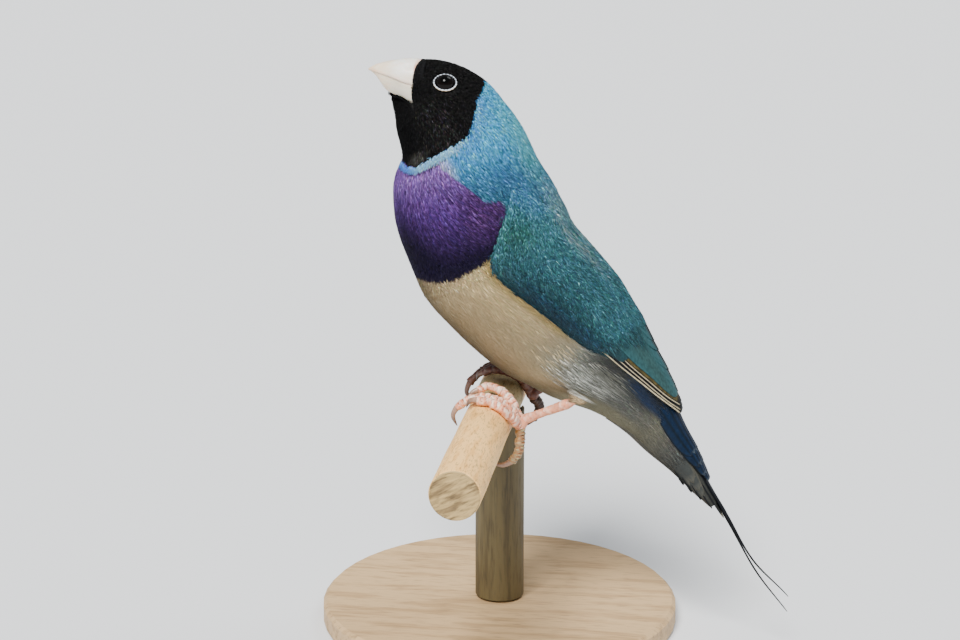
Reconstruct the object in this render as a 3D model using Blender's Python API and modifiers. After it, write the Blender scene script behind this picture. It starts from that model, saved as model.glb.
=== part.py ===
"""Gouldian finch standing on a dowel perch, life size, in a still pose.

Frame: +Z up, origin on the floor at the centre of the stand's base. The bird faces -X and its left
side is towards -Y. Lengths in this file are millimetres and become metres when a mesh is made.
"""

import math

import bmesh
import bpy
from mathutils import Vector

MM = 0.001
GAP = 0.3

# Each length of the body ends this far from its seam; the sections lean together on one side.
SEAM = 0.2

# Stand and perch
BASE_RADIUS = 38.0
BASE_THICKNESS = 5.0
POST_RADIUS = 5.2
PERCH_RADIUS = 5.0
PERCH_Z = 50.0
PERCH_NEAR_Y = -64.0
PERCH_FAR_Y = 13.0

# The bird's middle plane and the spine of its body. Each station holds the centre of a section,
# x and height over the perch's axis, then half depth, half width and the lean of its back-belly
# line from +X towards +Z, in degrees.
BIRD_Y = -9.6
STATIONS = (
    (-17.9, 68.4, 4.7, 2.0, 53.0),
    (-15.5, 66.7, 6.9, 5.3, 50.0),
    (-13.0, 64.3, 9.1, 7.4, 45.0),
    (-10.4, 61.2, 10.85, 8.7, 39.5),
    (-8.4, 58.05, 11.75, 9.9, 30.0),
    (-7.1, 53.95, 13.55, 11.4, 20.0),
    (-5.9, 49.1, 14.9, 13.1, 13.0),
    (-4.0, 43.15, 16.4, 14.4, 15.0),
    (-1.5, 36.7, 16.6, 14.9, 22.0),
    (0.8, 30.75, 16.25, 14.8, 26.5),
    (5.1, 25.8, 16.05, 14.4, 28.0),
    (9.9, 20.7, 15.7, 13.6, 28.0),
    (14.7, 15.3, 14.3, 12.3, 28.0),
    (18.3, 12.3, 12.9, 11.0, 28.5),
    (21.8, 9.2, 11.1, 9.4, 31.5),
    (27.1, 5.2, 8.4, 7.2, 33.0),
    (31.9, 0.0, 6.3, 5.6, 33.0),
    (35.4, -4.9, 4.9, 4.5, 33.0),
    (39.7, -10.1, 3.4, 3.6, 34.0),
    (43.8, -16.0, 1.9, 2.7, 35.0),
    (46.5, -19.3, 1.1, 1.9, 36.0),
)
RING_SIDES = 24
HEAD_RANGE = (0.0, 4.0)
NECK_RANGE = (4.0, 5.6)
BREAST_RANGE = (5.6, 8.2)
TORSO_RANGE = (8.2, 14.4)
CHIN_PINCH = (0.8, 0.6, 0.1)
RUMP_RANGE = (14.4, 16.6)
TAIL_RANGE = (16.6, 18.6)

# Bill: outlines along the middle plane, x against height over the perch's axis
BILL_BASE_X = -15.2
BILL_TIP_X = -25.4
CULMEN = ((-15.2, 72.0), (-17.5, 72.3), (-20.0, 72.0), (-23.1, 71.2), (-25.4, 70.1))
MOUTH = ((-15.2, 67.0), (-17.8, 68.0), (-20.4, 69.0), (-22.8, 69.6), (-25.4, 69.9))
GONYS = ((-15.2, 63.0), (-18.0, 64.0), (-20.9, 65.2), (-23.0, 67.0), (-25.4, 69.7))
BILL_HALF_WIDTH = ((-15.2, 4.1), (-18.0, 3.7), (-20.4, 2.8), (-23.0, 1.5), (-25.4, 0.25))
LOWER_TIP_X = -24.7
NOSTRIL_RADIUS = 0.5
NOSTRIL_SITE = (-17.6, 2.75, 71.0)

# Eyes: station and angle from the crown of the point where the eye's middle meets the head
EYE_STATION = 1.95
EYE_ANGLE = 50.0
EYE_RADIUS = 2.3
EYE_SINK = 1.55
LID_HALF_LENGTH = 2.25
LID_HALF_HEIGHT = 1.75
LID_THICKNESS = 0.42

# Wings: edges as (station, angle), with angles down the side from the middle of the back.
WING_GAP = 0.45
BACK_CLEAR = 2.5
WING_FRONT = 6.35
WING_REAR = 13.8
WING_TOP_EDGE = ((6.35, 46.0), (6.9, 36.0), (7.5, 26.0), (8.4, 14.0), (9.5, 6.0), (12.0, 4.0),
                 (14.0, 5.0))
WING_LOW_EDGE = ((6.35, 52.0), (6.9, 65.0), (7.5, 75.0), (8.1, 83.0), (8.5, 86.0), (9.2, 83.0),
                 (10.0, 79.0), (11.0, 75.0), (12.0, 68.0), (14.0, 54.0))
WING_THICKNESS = ((6.35, 0.5), (7.4, 1.4), (9.0, 1.7), (11.0, 1.3), (13.8, 0.7))

# Tiers of a wing's feathers: primaries, secondaries, great coverts and middle coverts. Each holds
# how many feathers, the lowest one's root and tip and the highest one's, their width, the lifts of
# root and tip off the body for the lowest and for the highest, how much the lower edge of one
# stands over the next, and how many steps it is made in.
WING_TIERS = (
    (6, ((10.4, 66.0), (16.3, 29.0)), ((10.4, 40.0), (15.2, 24.0)), 3.8, (0.95, 0.75), (0.95, 0.75),
     0.1, 6),
    (7, ((9.6, 68.0), (13.2, 58.0)), ((9.6, 12.0), (15.0, 13.0)), 4.4, (1.0, 1.3), (0.6, 0.7),
     0.22, 5),
    (8, ((8.2, 68.0), (10.9, 72.0)), ((8.4, 20.0), (11.0, 11.0)), 4.4, (1.1, 1.9), (0.6, 0.7),
     0.22, 4),
    (7, ((7.2, 60.0), (9.1, 73.0)), ((7.4, 32.0), (9.2, 17.0)), 4.2, (1.0, 2.1), (0.4, 0.7),
     0.2, 3),
)

# Tail
TAIL_ROOT = (36.0, -5.4)
TAIL_SLOPE = -52.5
CENTRAL_WIDTH = 3.0
CENTRAL_LENGTH = {"left": 41.5, "right": 44.5}
CENTRAL_RISE = {"left": (2.5, 1.6, 0.4, -0.7, 0.6), "right": (2.5, 1.5, 0.1, -1.8, -1.9)}
RECTRIX_WIDTH = 3.2
RECTRICES = (
    (19.7, (2.0, 0.9, -0.1)),
    (16.6, (1.3, 0.3, -0.8)),
    (13.8, (0.5, -0.4, -1.5)),
    (11.4, (-0.3, -1.2, -2.1)),
    (9.2, (-1.1, -1.8, -2.5)),
)
FAN_STEP = 1.8

# Tail coverts: how many, how far they reach round the tail, the station of their tips and its lift
TAIL_COVERT_ROOT = 16.95
UPPER_TAIL_COVERTS = ((5, 48.0, 18.4, 0.25), (4, 30.0, 19.3, 0.45))
UNDER_TAIL_COVERTS = ((5, 55.0, 18.7, 0.25), (3, 28.0, 19.8, 0.35))
FULL_TURN = 360.0

FEATHER_THICKNESS = 0.55

# Legs: ankle and foot places on the left, sideways from the bird's middle plane
LEG_SPREAD_ANKLE = 11.4
LEG_SPREAD_FOOT = 10.5
ANKLE = (18.4, 5.9)
FOOT_BASE = (7.2, 1.9)
THIGH_PATH = ((7.5, 9.0, 13.5), (10.0, 10.6, 12.0), (12.6, 11.1, 10.7), (15.4, 11.0, 9.3),
              (18.2, 11.5, 8.1))
THIGH_RADII = (1.2, 2.3, 2.7, 2.3, 1.1)
TOE_RADIUS = 0.95
CLAW_RADII = (0.62, 0.58, 0.5, 0.4, 0.28, 0.12)

# Toes as (angle, reach, aside) round the perch, from the foot's pad to the end of the toe, then the
# claw's middle and tip. Aside is away from the bird's middle plane.
TOES = {
    "inner": (((18, 7.0, -0.3), (45, 6.7, -1.8), (72, 7.2, -3.6), (94, 7.4, -4.1), (112, 7.0, -3.4)),
              ((122, 6.9, -2.9), (133, 6.2, -2.3))),
    "middle": (((14, 7.0, 0.0), (40, 6.5, 0.9), (68, 6.4, 1.4), (96, 6.5, 1.2), (124, 6.9, 0.6),
                (148, 7.6, 0.1)), ((162, 8.1, 0.0), (184, 6.9, 0.0))),
    "outer": (((10, 6.9, 0.6), (30, 6.5, 3.2), (54, 6.4, 4.8), (80, 6.45, 4.4), (104, 6.7, 3.4)),
              ((117, 6.9, 3.0), (131, 6.1, 2.6))),
}
HALLUX = {
    "left": (((4, 7.3, 0.0), (-20, 7.7, 0.2), (-40, 8.7, 0.2), (-56, 9.2, 0.0)),
             ((-70, 8.9, -0.1), (-88, 7.6, -0.2))),
    "right": (((4, 7.3, 0.3), (-8, 8.6, 1.2), (-24, 9.1, 2.2), (-38, 8.8, 2.8)),
              ((-52, 8.6, 3.4), (-68, 7.6, 3.9))),
}


def interpolate(table, x):
    """Piecewise linear value at x of a table of (x, value) pairs in rising or falling order."""
    rising = table[0][0] < table[-1][0]
    pairs = table if rising else tuple(reversed(table))
    if x <= pairs[0][0]:
        return pairs[0][1]
    for (x0, v0), (x1, v1) in zip(pairs, pairs[1:]):
        if x <= x1:
            return v0 + (v1 - v0) * (x - x0) / (x1 - x0)
    return pairs[-1][1]


def smooth_curve(points, t):
    """Catmull-Rom point at t, where whole numbers are the given points."""
    last = len(points) - 1
    index = min(max(int(t), 0), last - 1)
    f = t - index
    a = points[max(index - 1, 0)]
    b = points[index]
    c = points[index + 1]
    d = points[min(index + 2, last)]
    blended = []
    for p, q, r, s in zip(a, b, c, d):
        value = 2 * q + (r - p) * f + (2 * p - 5 * q + 4 * r - s) * f * f
        value += (3 * q - 3 * r + s - p) * f * f * f
        blended.append(value / 2)
    return blended


def section(s):
    """Centre, back direction, half depth and half width of the body at station s."""
    x, z, depth, width, lean = smooth_curve(STATIONS, s)
    angle = math.radians(lean)
    back = Vector((math.cos(angle), 0.0, math.sin(angle)))
    return Vector((x, BIRD_Y, PERCH_Z + z)), back, depth, width


def body_point(s, phi, lift=0.0):
    """Point on the body at station s, phi degrees from the back towards the left, lifted off it."""
    centre, back, depth, width = section(s)
    angle = math.radians(phi)
    if s < 2.0 and math.cos(angle) < 0.0:
        width *= 1.0 + smooth_curve([(value,) for value in CHIN_PINCH], s)[0] * math.cos(angle)
    side = Vector((0.0, -1.0, 0.0))
    point = centre + back * (depth * math.cos(angle)) + side * (width * math.sin(angle))
    normal = back * (math.cos(angle) / depth) + side * (math.sin(angle) / width)
    return point + normal.normalized() * lift


def body_normal(s, phi):
    """Outward direction of the body at a station and angle, with its slope along the spine."""
    step = 0.1
    along = body_point(s + step, phi) - body_point(s - step, phi)
    around = body_point(s, phi + 1.0) - body_point(s, phi - 1.0)
    normal = along.cross(around).normalized()
    if normal.dot(body_point(s, phi, 1.0) - body_point(s, phi)) < 0.0:
        normal.negate()
    return normal


def make_material(name, colour, roughness):
    material = bpy.data.materials.new(name)
    material.use_nodes = True
    shader = material.node_tree.nodes["Principled BSDF"]
    shader.inputs["Base Color"].default_value = (*colour, 1.0)
    shader.inputs["Roughness"].default_value = roughness
    return material


def link(obj, collection, material):
    collection.objects.link(obj)
    obj.data.materials.append(material)
    return obj


def mesh_object(name, points, faces):
    """Object from points in millimetres, with its faces turned outwards."""
    mesh = bpy.data.meshes.new(name)
    mesh.from_pydata([Vector(p) * MM for p in points], [], faces)
    work = bmesh.new()
    work.from_mesh(mesh)
    bmesh.ops.recalc_face_normals(work, faces=work.faces)
    if work.calc_volume(signed=True) < 0.0:
        bmesh.ops.reverse_faces(work, faces=work.faces)
    work.to_mesh(mesh)
    work.free()
    return bpy.data.objects.new(name, mesh)


def loft(name, rings):
    """Closed solid through rings of equal count, with a fan over each end."""
    sides = len(rings[0])
    points = [point for ring in rings for point in ring]
    faces = []
    for row in range(len(rings) - 1):
        for k in range(sides):
            a = row * sides + k
            b = row * sides + (k + 1) % sides
            faces.append((a, b, b + sides))
            faces.append((a, b + sides, a + sides))
    for ring, start in ((rings[0], 0), (rings[-1], (len(rings) - 1) * sides)):
        middle = len(points)
        points.append(sum(ring, Vector()) / sides)
        faces.extend((start + k, start + (k + 1) % sides, middle) for k in range(sides))
    return mesh_object(name, points, faces)


def tube(name, path, radii, sides=8):
    """Tapered tube along points, with flat ends square to the path."""
    rings = []
    last = len(path) - 1
    across = None
    for i, (centre, radius) in enumerate(zip(path, radii)):
        along = (path[min(i + 1, last)] - path[max(i - 1, 0)]).normalized()
        if across is None:
            across = along.orthogonal().normalized()
        across = (across - along * across.dot(along)).normalized()
        other = along.cross(across)
        ring = []
        for k in range(sides):
            turn = math.tau * k / sides
            ring.append(centre + (across * math.cos(turn) + other * math.sin(turn)) * radius)
        rings.append(ring)
    return loft(name, rings)


def ball(name, centre, radius, segments=14, rings=9):
    """Sphere as a turned mesh, centred in millimetres."""
    work = bmesh.new()
    bmesh.ops.create_uvsphere(work, u_segments=segments, v_segments=rings, radius=radius * MM)
    bmesh.ops.translate(work, verts=work.verts, vec=Vector(centre) * MM)
    mesh = bpy.data.meshes.new(name)
    work.to_mesh(mesh)
    work.free()
    return bpy.data.objects.new(name, mesh)


def settle(obj):
    """Replace an object's mesh by its evaluated one and drop its modifiers."""
    bpy.context.view_layer.update()
    evaluated = obj.evaluated_get(bpy.context.evaluated_depsgraph_get())
    mesh = bpy.data.meshes.new_from_object(evaluated)
    obj.modifiers.clear()
    obj.data = mesh


def keep_largest(obj):
    """Keep the largest closed surface of a mesh, in triangles."""
    work = bmesh.new()
    work.from_mesh(obj.data)
    bmesh.ops.triangulate(work, faces=work.faces)
    unseen = set(work.faces)
    islands = []
    while unseen:
        island = [unseen.pop()]
        for face in island:
            for edge in face.edges:
                for other in edge.link_faces:
                    if other in unseen:
                        unseen.remove(other)
                        island.append(other)
        islands.append(island)
    if len(islands) > 1:
        islands.sort(key=island_volume)
        scraps = [face for island in islands[:-1] for face in island]
        bmesh.ops.delete(work, geom=scraps, context="FACES")
    work.to_mesh(obj.data)
    work.free()


def island_volume(faces):
    """Volume inside a closed island of triangles."""
    total = 0.0
    for face in faces:
        a, b, c = (vert.co for vert in face.verts)
        total += a.dot(b.cross(c))
    return abs(total) / 6.0


def combine(obj, pieces, operation):
    """One Boolean of an object with a list of closed pieces, applied; the pieces are removed."""
    holder = bpy.data.collections.new(obj.name + "_pieces")
    bpy.context.scene.collection.children.link(holder)
    for piece in pieces:
        holder.objects.link(piece)
    modifier = obj.modifiers.new("join", "BOOLEAN")
    modifier.operand_type = "COLLECTION"
    modifier.collection = holder
    modifier.operation = operation
    modifier.solver = "EXACT"
    settle(obj)
    for piece in pieces:
        bpy.data.objects.remove(piece)
    bpy.data.collections.remove(holder)
    keep_largest(obj)


def body_rings(start, end, lift=0.0, step=0.45):
    """Rings of the body between two stations."""
    count = max(2, round((end - start) / step)) + 1
    rings = []
    for i in range(count):
        s = start + (end - start) * i / (count - 1)
        rings.append([body_point(s, 360.0 * k / RING_SIDES, lift) for k in range(RING_SIDES)])
    return rings


def seam_in_stations(s):
    """How many stations a node ends short of its seam at s."""
    step = 0.05
    length = (section(s + step)[0] - section(s - step)[0]).length / (2 * step)
    return SEAM / length


def body_node(name, span, collection, material):
    """One length of the body, a thin cut short of its neighbours."""
    start = span[0] + (seam_in_stations(span[0]) if span[0] > 0.0 else 0.0)
    end = span[1] - seam_in_stations(span[1])
    return link(loft(name, body_rings(start, end)), collection, material)


def mandible(name, line, x_values, sign, grow=0.0):
    """Half of the bill: an arch of the line's height on the mouth line, upwards or downwards."""
    rings = []
    arc = 9
    squareness = 0.8 if sign > 0 else 0.55
    for x in x_values:
        mouth = PERCH_Z + interpolate(MOUTH, x) + sign * (GAP / 2 - grow)
        height = abs(interpolate(line, x) - interpolate(MOUTH, x)) - GAP / 2 + 2 * grow
        height = max(height, 0.12)
        half = interpolate(BILL_HALF_WIDTH, x) * (1.0 if sign > 0 else 0.94) + grow
        ring = []
        for k in range(arc):
            turn = math.pi * k / (arc - 1)
            rise = max(math.sin(turn), 0.0) ** squareness
            ring.append(Vector((x, BIRD_Y + half * math.cos(turn), mouth + sign * height * rise)))
        rings.append(ring)
    return loft(name, rings)


def spaced(start, end, count):
    return [start + (end - start) * i / (count - 1) for i in range(count)]


def make_bill(collection, material):
    upper = mandible("bill_upper", CULMEN, spaced(BILL_BASE_X, BILL_TIP_X, 9), 1)
    lower = mandible("bill_lower", GONYS, spaced(BILL_BASE_X, LOWER_TIP_X, 9), -1)
    link(upper, collection, material)
    link(lower, collection, material)
    x, y, z = NOSTRIL_SITE
    pits = [ball("pit", (x, BIRD_Y + side * y, PERCH_Z + z), NOSTRIL_RADIUS, 8, 6) for side in (1, -1)]
    combine(upper, pits, "DIFFERENCE")


def eye_place(side):
    """Centre of an eye and the direction it looks."""
    phi = side * EYE_ANGLE
    normal = body_normal(EYE_STATION, phi)
    return body_point(EYE_STATION, phi) - normal * EYE_SINK, normal


def lid_ring(side):
    """Oval swelling of the lids round an eye."""
    centre, normal = eye_place(side)
    centre = centre + normal * (EYE_SINK - 0.05)
    level = Vector((-1.0, 0.0, 0.0))
    level = (level - normal * level.dot(normal)).normalized()
    upright = normal.cross(level)
    count = 16
    sides = 6
    points = []
    faces = []
    for i in range(count):
        turn = math.tau * i / count
        out = level * (math.cos(turn) * LID_HALF_LENGTH) + upright * (math.sin(turn) * LID_HALF_HEIGHT)
        middle = centre + out
        for k in range(sides):
            roll = math.tau * k / sides
            points.append(middle + (out.normalized() * math.cos(roll) + normal * math.sin(roll))
                          * LID_THICKNESS)
            a = i * sides + k
            b = i * sides + (k + 1) % sides
            c = (i + 1) % count * sides + (k + 1) % sides
            d = (i + 1) % count * sides + k
            faces.append((a, b, c))
            faces.append((a, c, d))
    return mesh_object("lid", points, faces)


def make_head(collection, material, eye_material):
    head = body_node("head", HEAD_RANGE, collection, material)
    combine(head, [lid_ring(1), lid_ring(-1)], "UNION")
    cutters = []
    for side, word in ((1, "left"), (-1, "right")):
        centre, _ = eye_place(side)
        cutters.append(ball("socket", centre, EYE_RADIUS + GAP))
        link(ball("eye_" + word, centre, EYE_RADIUS), collection, eye_material)
    x_values = spaced(BILL_BASE_X + 0.4, BILL_TIP_X - 1.0, 8)
    cutters.append(mandible("bill_room", CULMEN, x_values, 1, GAP))
    cutters.append(mandible("bill_room", GONYS, x_values, -1, GAP))
    combine(head, cutters, "DIFFERENCE")


def feather_outline(t, tip_width=0.12, root_width=0.55):
    """Share of a vane's half width at t from root to tip: narrow root, round tip."""
    root = root_width + (1.0 - root_width) * min(1.0, t / 0.35)
    fall = max(0.0, (t - 0.72) / 0.28)
    return root * max(tip_width, math.sqrt(max(0.0, 1.0 - fall * fall)))


def ribbon(name, edges):
    """Closed thin strip from rows of (upper left, upper right, lower right, lower left)."""
    points = [point for row in edges for point in row]
    faces = []
    for row in range(len(edges) - 1):
        for k in range(4):
            a = row * 4 + k
            b = row * 4 + (k + 1) % 4
            faces.append((a, b, b + 4))
            faces.append((a, b + 4, a + 4))
    last = (len(edges) - 1) * 4
    faces.append((0, 1, 2))
    faces.append((0, 2, 3))
    faces.append((last, last + 1, last + 2))
    faces.append((last, last + 2, last + 3))
    return mesh_object(name, points, faces)


def laid_vane(side, root, tip, width, lifts, overlap, rows, clear):
    """Vane along the body from root to tip, each a (station, angle), at two lifts off the body.

    Its lower edge stands overlap higher than its upper edge, so that each vane lies on the next.
    No part comes closer than the angle clear to the middle of the back.
    """
    edges = []
    half_thickness = FEATHER_THICKNESS / 2
    for i in range(rows + 1):
        t = i / rows
        s = root[0] + (tip[0] - root[0]) * t
        phi = root[1] + (tip[1] - root[1]) * t
        lift = lifts[0] + (lifts[1] - lifts[0]) * t
        _, _, depth, width_here = section(s)
        spread = math.degrees(width * feather_outline(t) / (depth + width_here + 2 * lift))
        upper = side * max(phi - spread, clear)
        lower = side * (phi + spread)
        edges.append((
            body_point(s, upper, lift - overlap + half_thickness),
            body_point(s, lower, lift + overlap + half_thickness),
            body_point(s, lower, lift + overlap - half_thickness),
            body_point(s, upper, lift - overlap - half_thickness),
        ))
    return ribbon("vane", edges)


def wing_core(side, name):
    """Folded arm and base of the feathers: a shell that follows the body a gap away."""
    rows = 10
    columns = 7
    top = []
    bottom = []
    for i in range(rows + 1):
        s = WING_FRONT + (WING_REAR - WING_FRONT) * i / rows
        high = interpolate(WING_TOP_EDGE, s)
        low = interpolate(WING_LOW_EDGE, s)
        thick = interpolate(WING_THICKNESS, s)
        for j in range(columns + 1):
            u = j / columns
            phi = side * (high + (low - high) * u)
            crown = math.sqrt(max(0.0, 1.0 - (2 * u - 1) ** 4))
            bottom.append(body_point(s, phi, WING_GAP))
            top.append(body_point(s, phi, WING_GAP + max(0.5, thick * crown)))
    points = top + bottom
    faces = []
    stride = columns + 1
    under = len(top)
    for i in range(rows):
        for j in range(columns):
            a = i * stride + j
            faces.append((a, a + 1, a + stride + 1))
            faces.append((a, a + stride + 1, a + stride))
            faces.append((under + a, under + a + stride + 1, under + a + 1))
            faces.append((under + a, under + a + stride, under + a + stride + 1))
    rim = list(range(columns))
    rim += [i * stride + columns for i in range(rows)]
    rim += [rows * stride + j for j in range(columns, 0, -1)]
    rim += [i * stride for i in range(rows, 0, -1)]
    for a, b in zip(rim, rim[1:] + rim[:1]):
        faces.append((a, b, under + b))
        faces.append((a, under + b, under + a))
    return mesh_object(name, points, faces)


def between(a, b, f):
    return (a[0] + (b[0] - a[0]) * f, a[1] + (b[1] - a[1]) * f)


def feather_row(side, tier, clear):
    """Row of vanes between its lowest and its highest one, each given as (root, tip)."""
    count, low, high, width, low_lifts, high_lifts, overlap, rows = tier
    vanes = []
    for i in range(count):
        f = i / (count - 1)
        root = between(low[0], high[0], f)
        tip = between(low[1], high[1], f)
        lifts = between(low_lifts, high_lifts, f)
        vanes.append(laid_vane(side, root, tip, width, lifts, overlap, rows, clear))
    return vanes


def make_wing(side, word, collection, material):
    wing = link(wing_core(side, "wing_" + word), collection, material)
    vanes = []
    for tier in WING_TIERS:
        vanes += feather_row(side, tier, BACK_CLEAR)
    combine(wing, vanes, "UNION")


def tail_frame():
    """Directions along the tail and out of its upper face."""
    angle = math.radians(TAIL_SLOPE)
    along = Vector((math.cos(angle), 0.0, math.sin(angle)))
    up = Vector((-along.z, 0.0, along.x))
    return along, up


def tail_vane(side, length, fan, width, rises, rows=6, filament=0.0):
    """Tail feather from the tail's root, with its heights over the tail's axis from root to tip.

    A filament is the share of its length that is drawn out thin.
    """
    along, up = tail_frame()
    out = Vector((0.0, -side, 0.0))
    turn = math.radians(fan)
    heading = along * math.cos(turn) + out * math.sin(turn)
    across = out * math.cos(turn) - along * math.sin(turn)
    root = Vector((TAIL_ROOT[0], BIRD_Y, PERCH_Z + TAIL_ROOT[1])) + out * 0.5
    half_thickness = FEATHER_THICKNESS / 2
    edges = []
    for i in range(rows + 1):
        t = i / rows
        rise = smooth_curve([(value,) for value in rises], (len(rises) - 1) * t)[0]
        middle = root + heading * (length * t) + up * rise
        share = feather_outline(t)
        if filament:
            web = max(0.0, 1.0 - t / (1.0 - filament))
            share = max(0.2, min(1.0, 0.3 + 1.4 * web) if t > 0.12 else 0.8)
        half = width / 2 * share
        edges.append((
            middle - across * half + up * half_thickness,
            middle + across * half + up * half_thickness,
            middle + across * half - up * half_thickness,
            middle - across * half - up * half_thickness,
        ))
    return ribbon("rectrix", edges)


def central_pair():
    """The two middle tail feathers, drawn out into fine points."""
    vanes = []
    for side, word in ((1, "left"), (-1, "right")):
        vanes.append(tail_vane(side, CENTRAL_LENGTH[word], 0.4, CENTRAL_WIDTH, CENTRAL_RISE[word],
                               12, 0.5))
    return vanes


def tail_coverts():
    """Coverts over and under the root of the tail, two tiers of each."""
    vanes = []
    for middle, tiers in ((0.0, UPPER_TAIL_COVERTS), (180.0, UNDER_TAIL_COVERTS)):
        for count, reach, tip, lift in tiers:
            low = ((TAIL_COVERT_ROOT, middle - reach), (tip, middle - reach * 0.6))
            high = ((TAIL_COVERT_ROOT, middle + reach), (tip, middle + reach * 0.6))
            lifts = (-0.5, lift)
            tier = (count, low, high, 3.0, lifts, lifts, 0.05, 4)
            vanes += feather_row(1, tier, -FULL_TURN)
    return vanes


def make_tail(collection, material):
    start = TAIL_RANGE[0] + seam_in_stations(TAIL_RANGE[0])
    tail = link(loft("tail", body_rings(start, TAIL_RANGE[1], -0.3)), collection, material)
    vanes = central_pair() + tail_coverts()
    for side in (1, -1):
        for k, (length, rises) in enumerate(RECTRICES):
            vanes.append(tail_vane(side, length, FAN_STEP * (k + 1), RECTRIX_WIDTH, rises))
    combine(tail, vanes, "UNION")


def leg_point(side, x, spread, z):
    return Vector((x, BIRD_Y - side * spread, PERCH_Z + z))


def make_thigh(side, word, collection, material):
    path = [leg_point(side, x, spread, z) for x, spread, z in THIGH_PATH]
    thigh = link(tube("thigh_" + word, path, THIGH_RADII, 12), collection, material)
    body = loft("body_room", body_rings(9.0, 18.0, GAP + 0.05))
    combine(thigh, [body], "DIFFERENCE")


def make_tarsus(side, word, collection, material):
    ankle = leg_point(side, ANKLE[0], LEG_SPREAD_ANKLE, ANKLE[1])
    foot = leg_point(side, FOOT_BASE[0], LEG_SPREAD_FOOT, FOOT_BASE[1])
    along = (foot - ankle).normalized()
    end = foot - along * 1.9
    path = [ankle - along * 0.6, ankle, ankle + along * 1.4]
    path += [ankle.lerp(end, f) for f in (0.3, 0.55, 0.8, 1.0)]
    radii = (0.8, 1.15, 1.0, 0.85, 0.8, 0.85, 0.95)
    link(tube("tarsus_" + word, path, radii, 10), collection, material)


def perch_point(side, angle, reach, aside):
    """Point round the perch: angle from +X upwards, reach from its axis, aside from the foot."""
    turn = math.radians(angle)
    y = BIRD_Y - side * (LEG_SPREAD_FOOT + aside)
    return Vector((reach * math.cos(turn), y, PERCH_Z + reach * math.sin(turn)))


def smooth_path(points, count):
    """Evenly stepped points on a smooth curve through the given ones."""
    last = len(points) - 1
    return [Vector(smooth_curve(points, last * i / (count - 1))) for i in range(count)]


def make_foot(side, word, collection, material, claw_material):
    base = perch_point(side, 14.0, 7.5, 0.0)
    foot = link(ball("foot_" + word, base, 1.55, 12, 8), collection, material)
    toes = dict(TOES, hallux=HALLUX[word])
    pieces = []
    for toe, (places, claw_places) in toes.items():
        path = smooth_path([perch_point(side, *place) for place in places], 9)
        radii = [TOE_RADIUS * (1.0 - 0.22 * i / 8) for i in range(9)]
        pieces.append(tube("toe", path, radii, 8))
        end = path[-1]
        ahead = (path[-1] - path[-2]).normalized()
        start = end + ahead * GAP
        claw_path = smooth_path([start] + [perch_point(side, *place) for place in claw_places], 6)
        claw = tube("claw_" + toe + "_" + word, claw_path, CLAW_RADII, 8)
        link(claw, collection, claw_material)
    combine(foot, pieces, "UNION")


def cylinder(name, radius, length, sides, centre, along_y, bevel):
    """Round bar, upright or along Y, with rounded ends."""
    work = bmesh.new()
    bmesh.ops.create_cone(work, cap_ends=True, segments=sides, radius1=radius * MM,
                          radius2=radius * MM, depth=length * MM)
    mesh = bpy.data.meshes.new(name)
    work.to_mesh(mesh)
    work.free()
    obj = bpy.data.objects.new(name, mesh)
    obj.location = Vector(centre) * MM
    if along_y:
        obj.rotation_euler.x = math.radians(90.0)
    soften = obj.modifiers.new("edge", "BEVEL")
    soften.width = bevel * MM
    soften.segments = 1
    soften.limit_method = "ANGLE"
    return obj


def make_stand(collection, material):
    length = PERCH_FAR_Y - PERCH_NEAR_Y
    middle = (PERCH_FAR_Y + PERCH_NEAR_Y) / 2
    perch = cylinder("perch", PERCH_RADIUS, length, 32, (0.0, middle, PERCH_Z), True, 0.4)
    link(perch, collection, material)
    base = cylinder("stand_base", BASE_RADIUS, BASE_THICKNESS, 48,
                    (0.0, 0.0, BASE_THICKNESS / 2), False, 0.8)
    link(base, collection, material)
    low = BASE_THICKNESS + GAP
    high = PERCH_Z - PERCH_RADIUS + 2.5
    post = cylinder("stand_post", POST_RADIUS, high - low, 32, (0.0, 0.0, (low + high) / 2), False, 0.3)
    link(post, collection, material)
    room = cylinder("perch_room", PERCH_RADIUS + GAP, length, 32, (0.0, middle, PERCH_Z), True, 0.1)
    settle(post)
    combine(post, [room], "DIFFERENCE")


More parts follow.
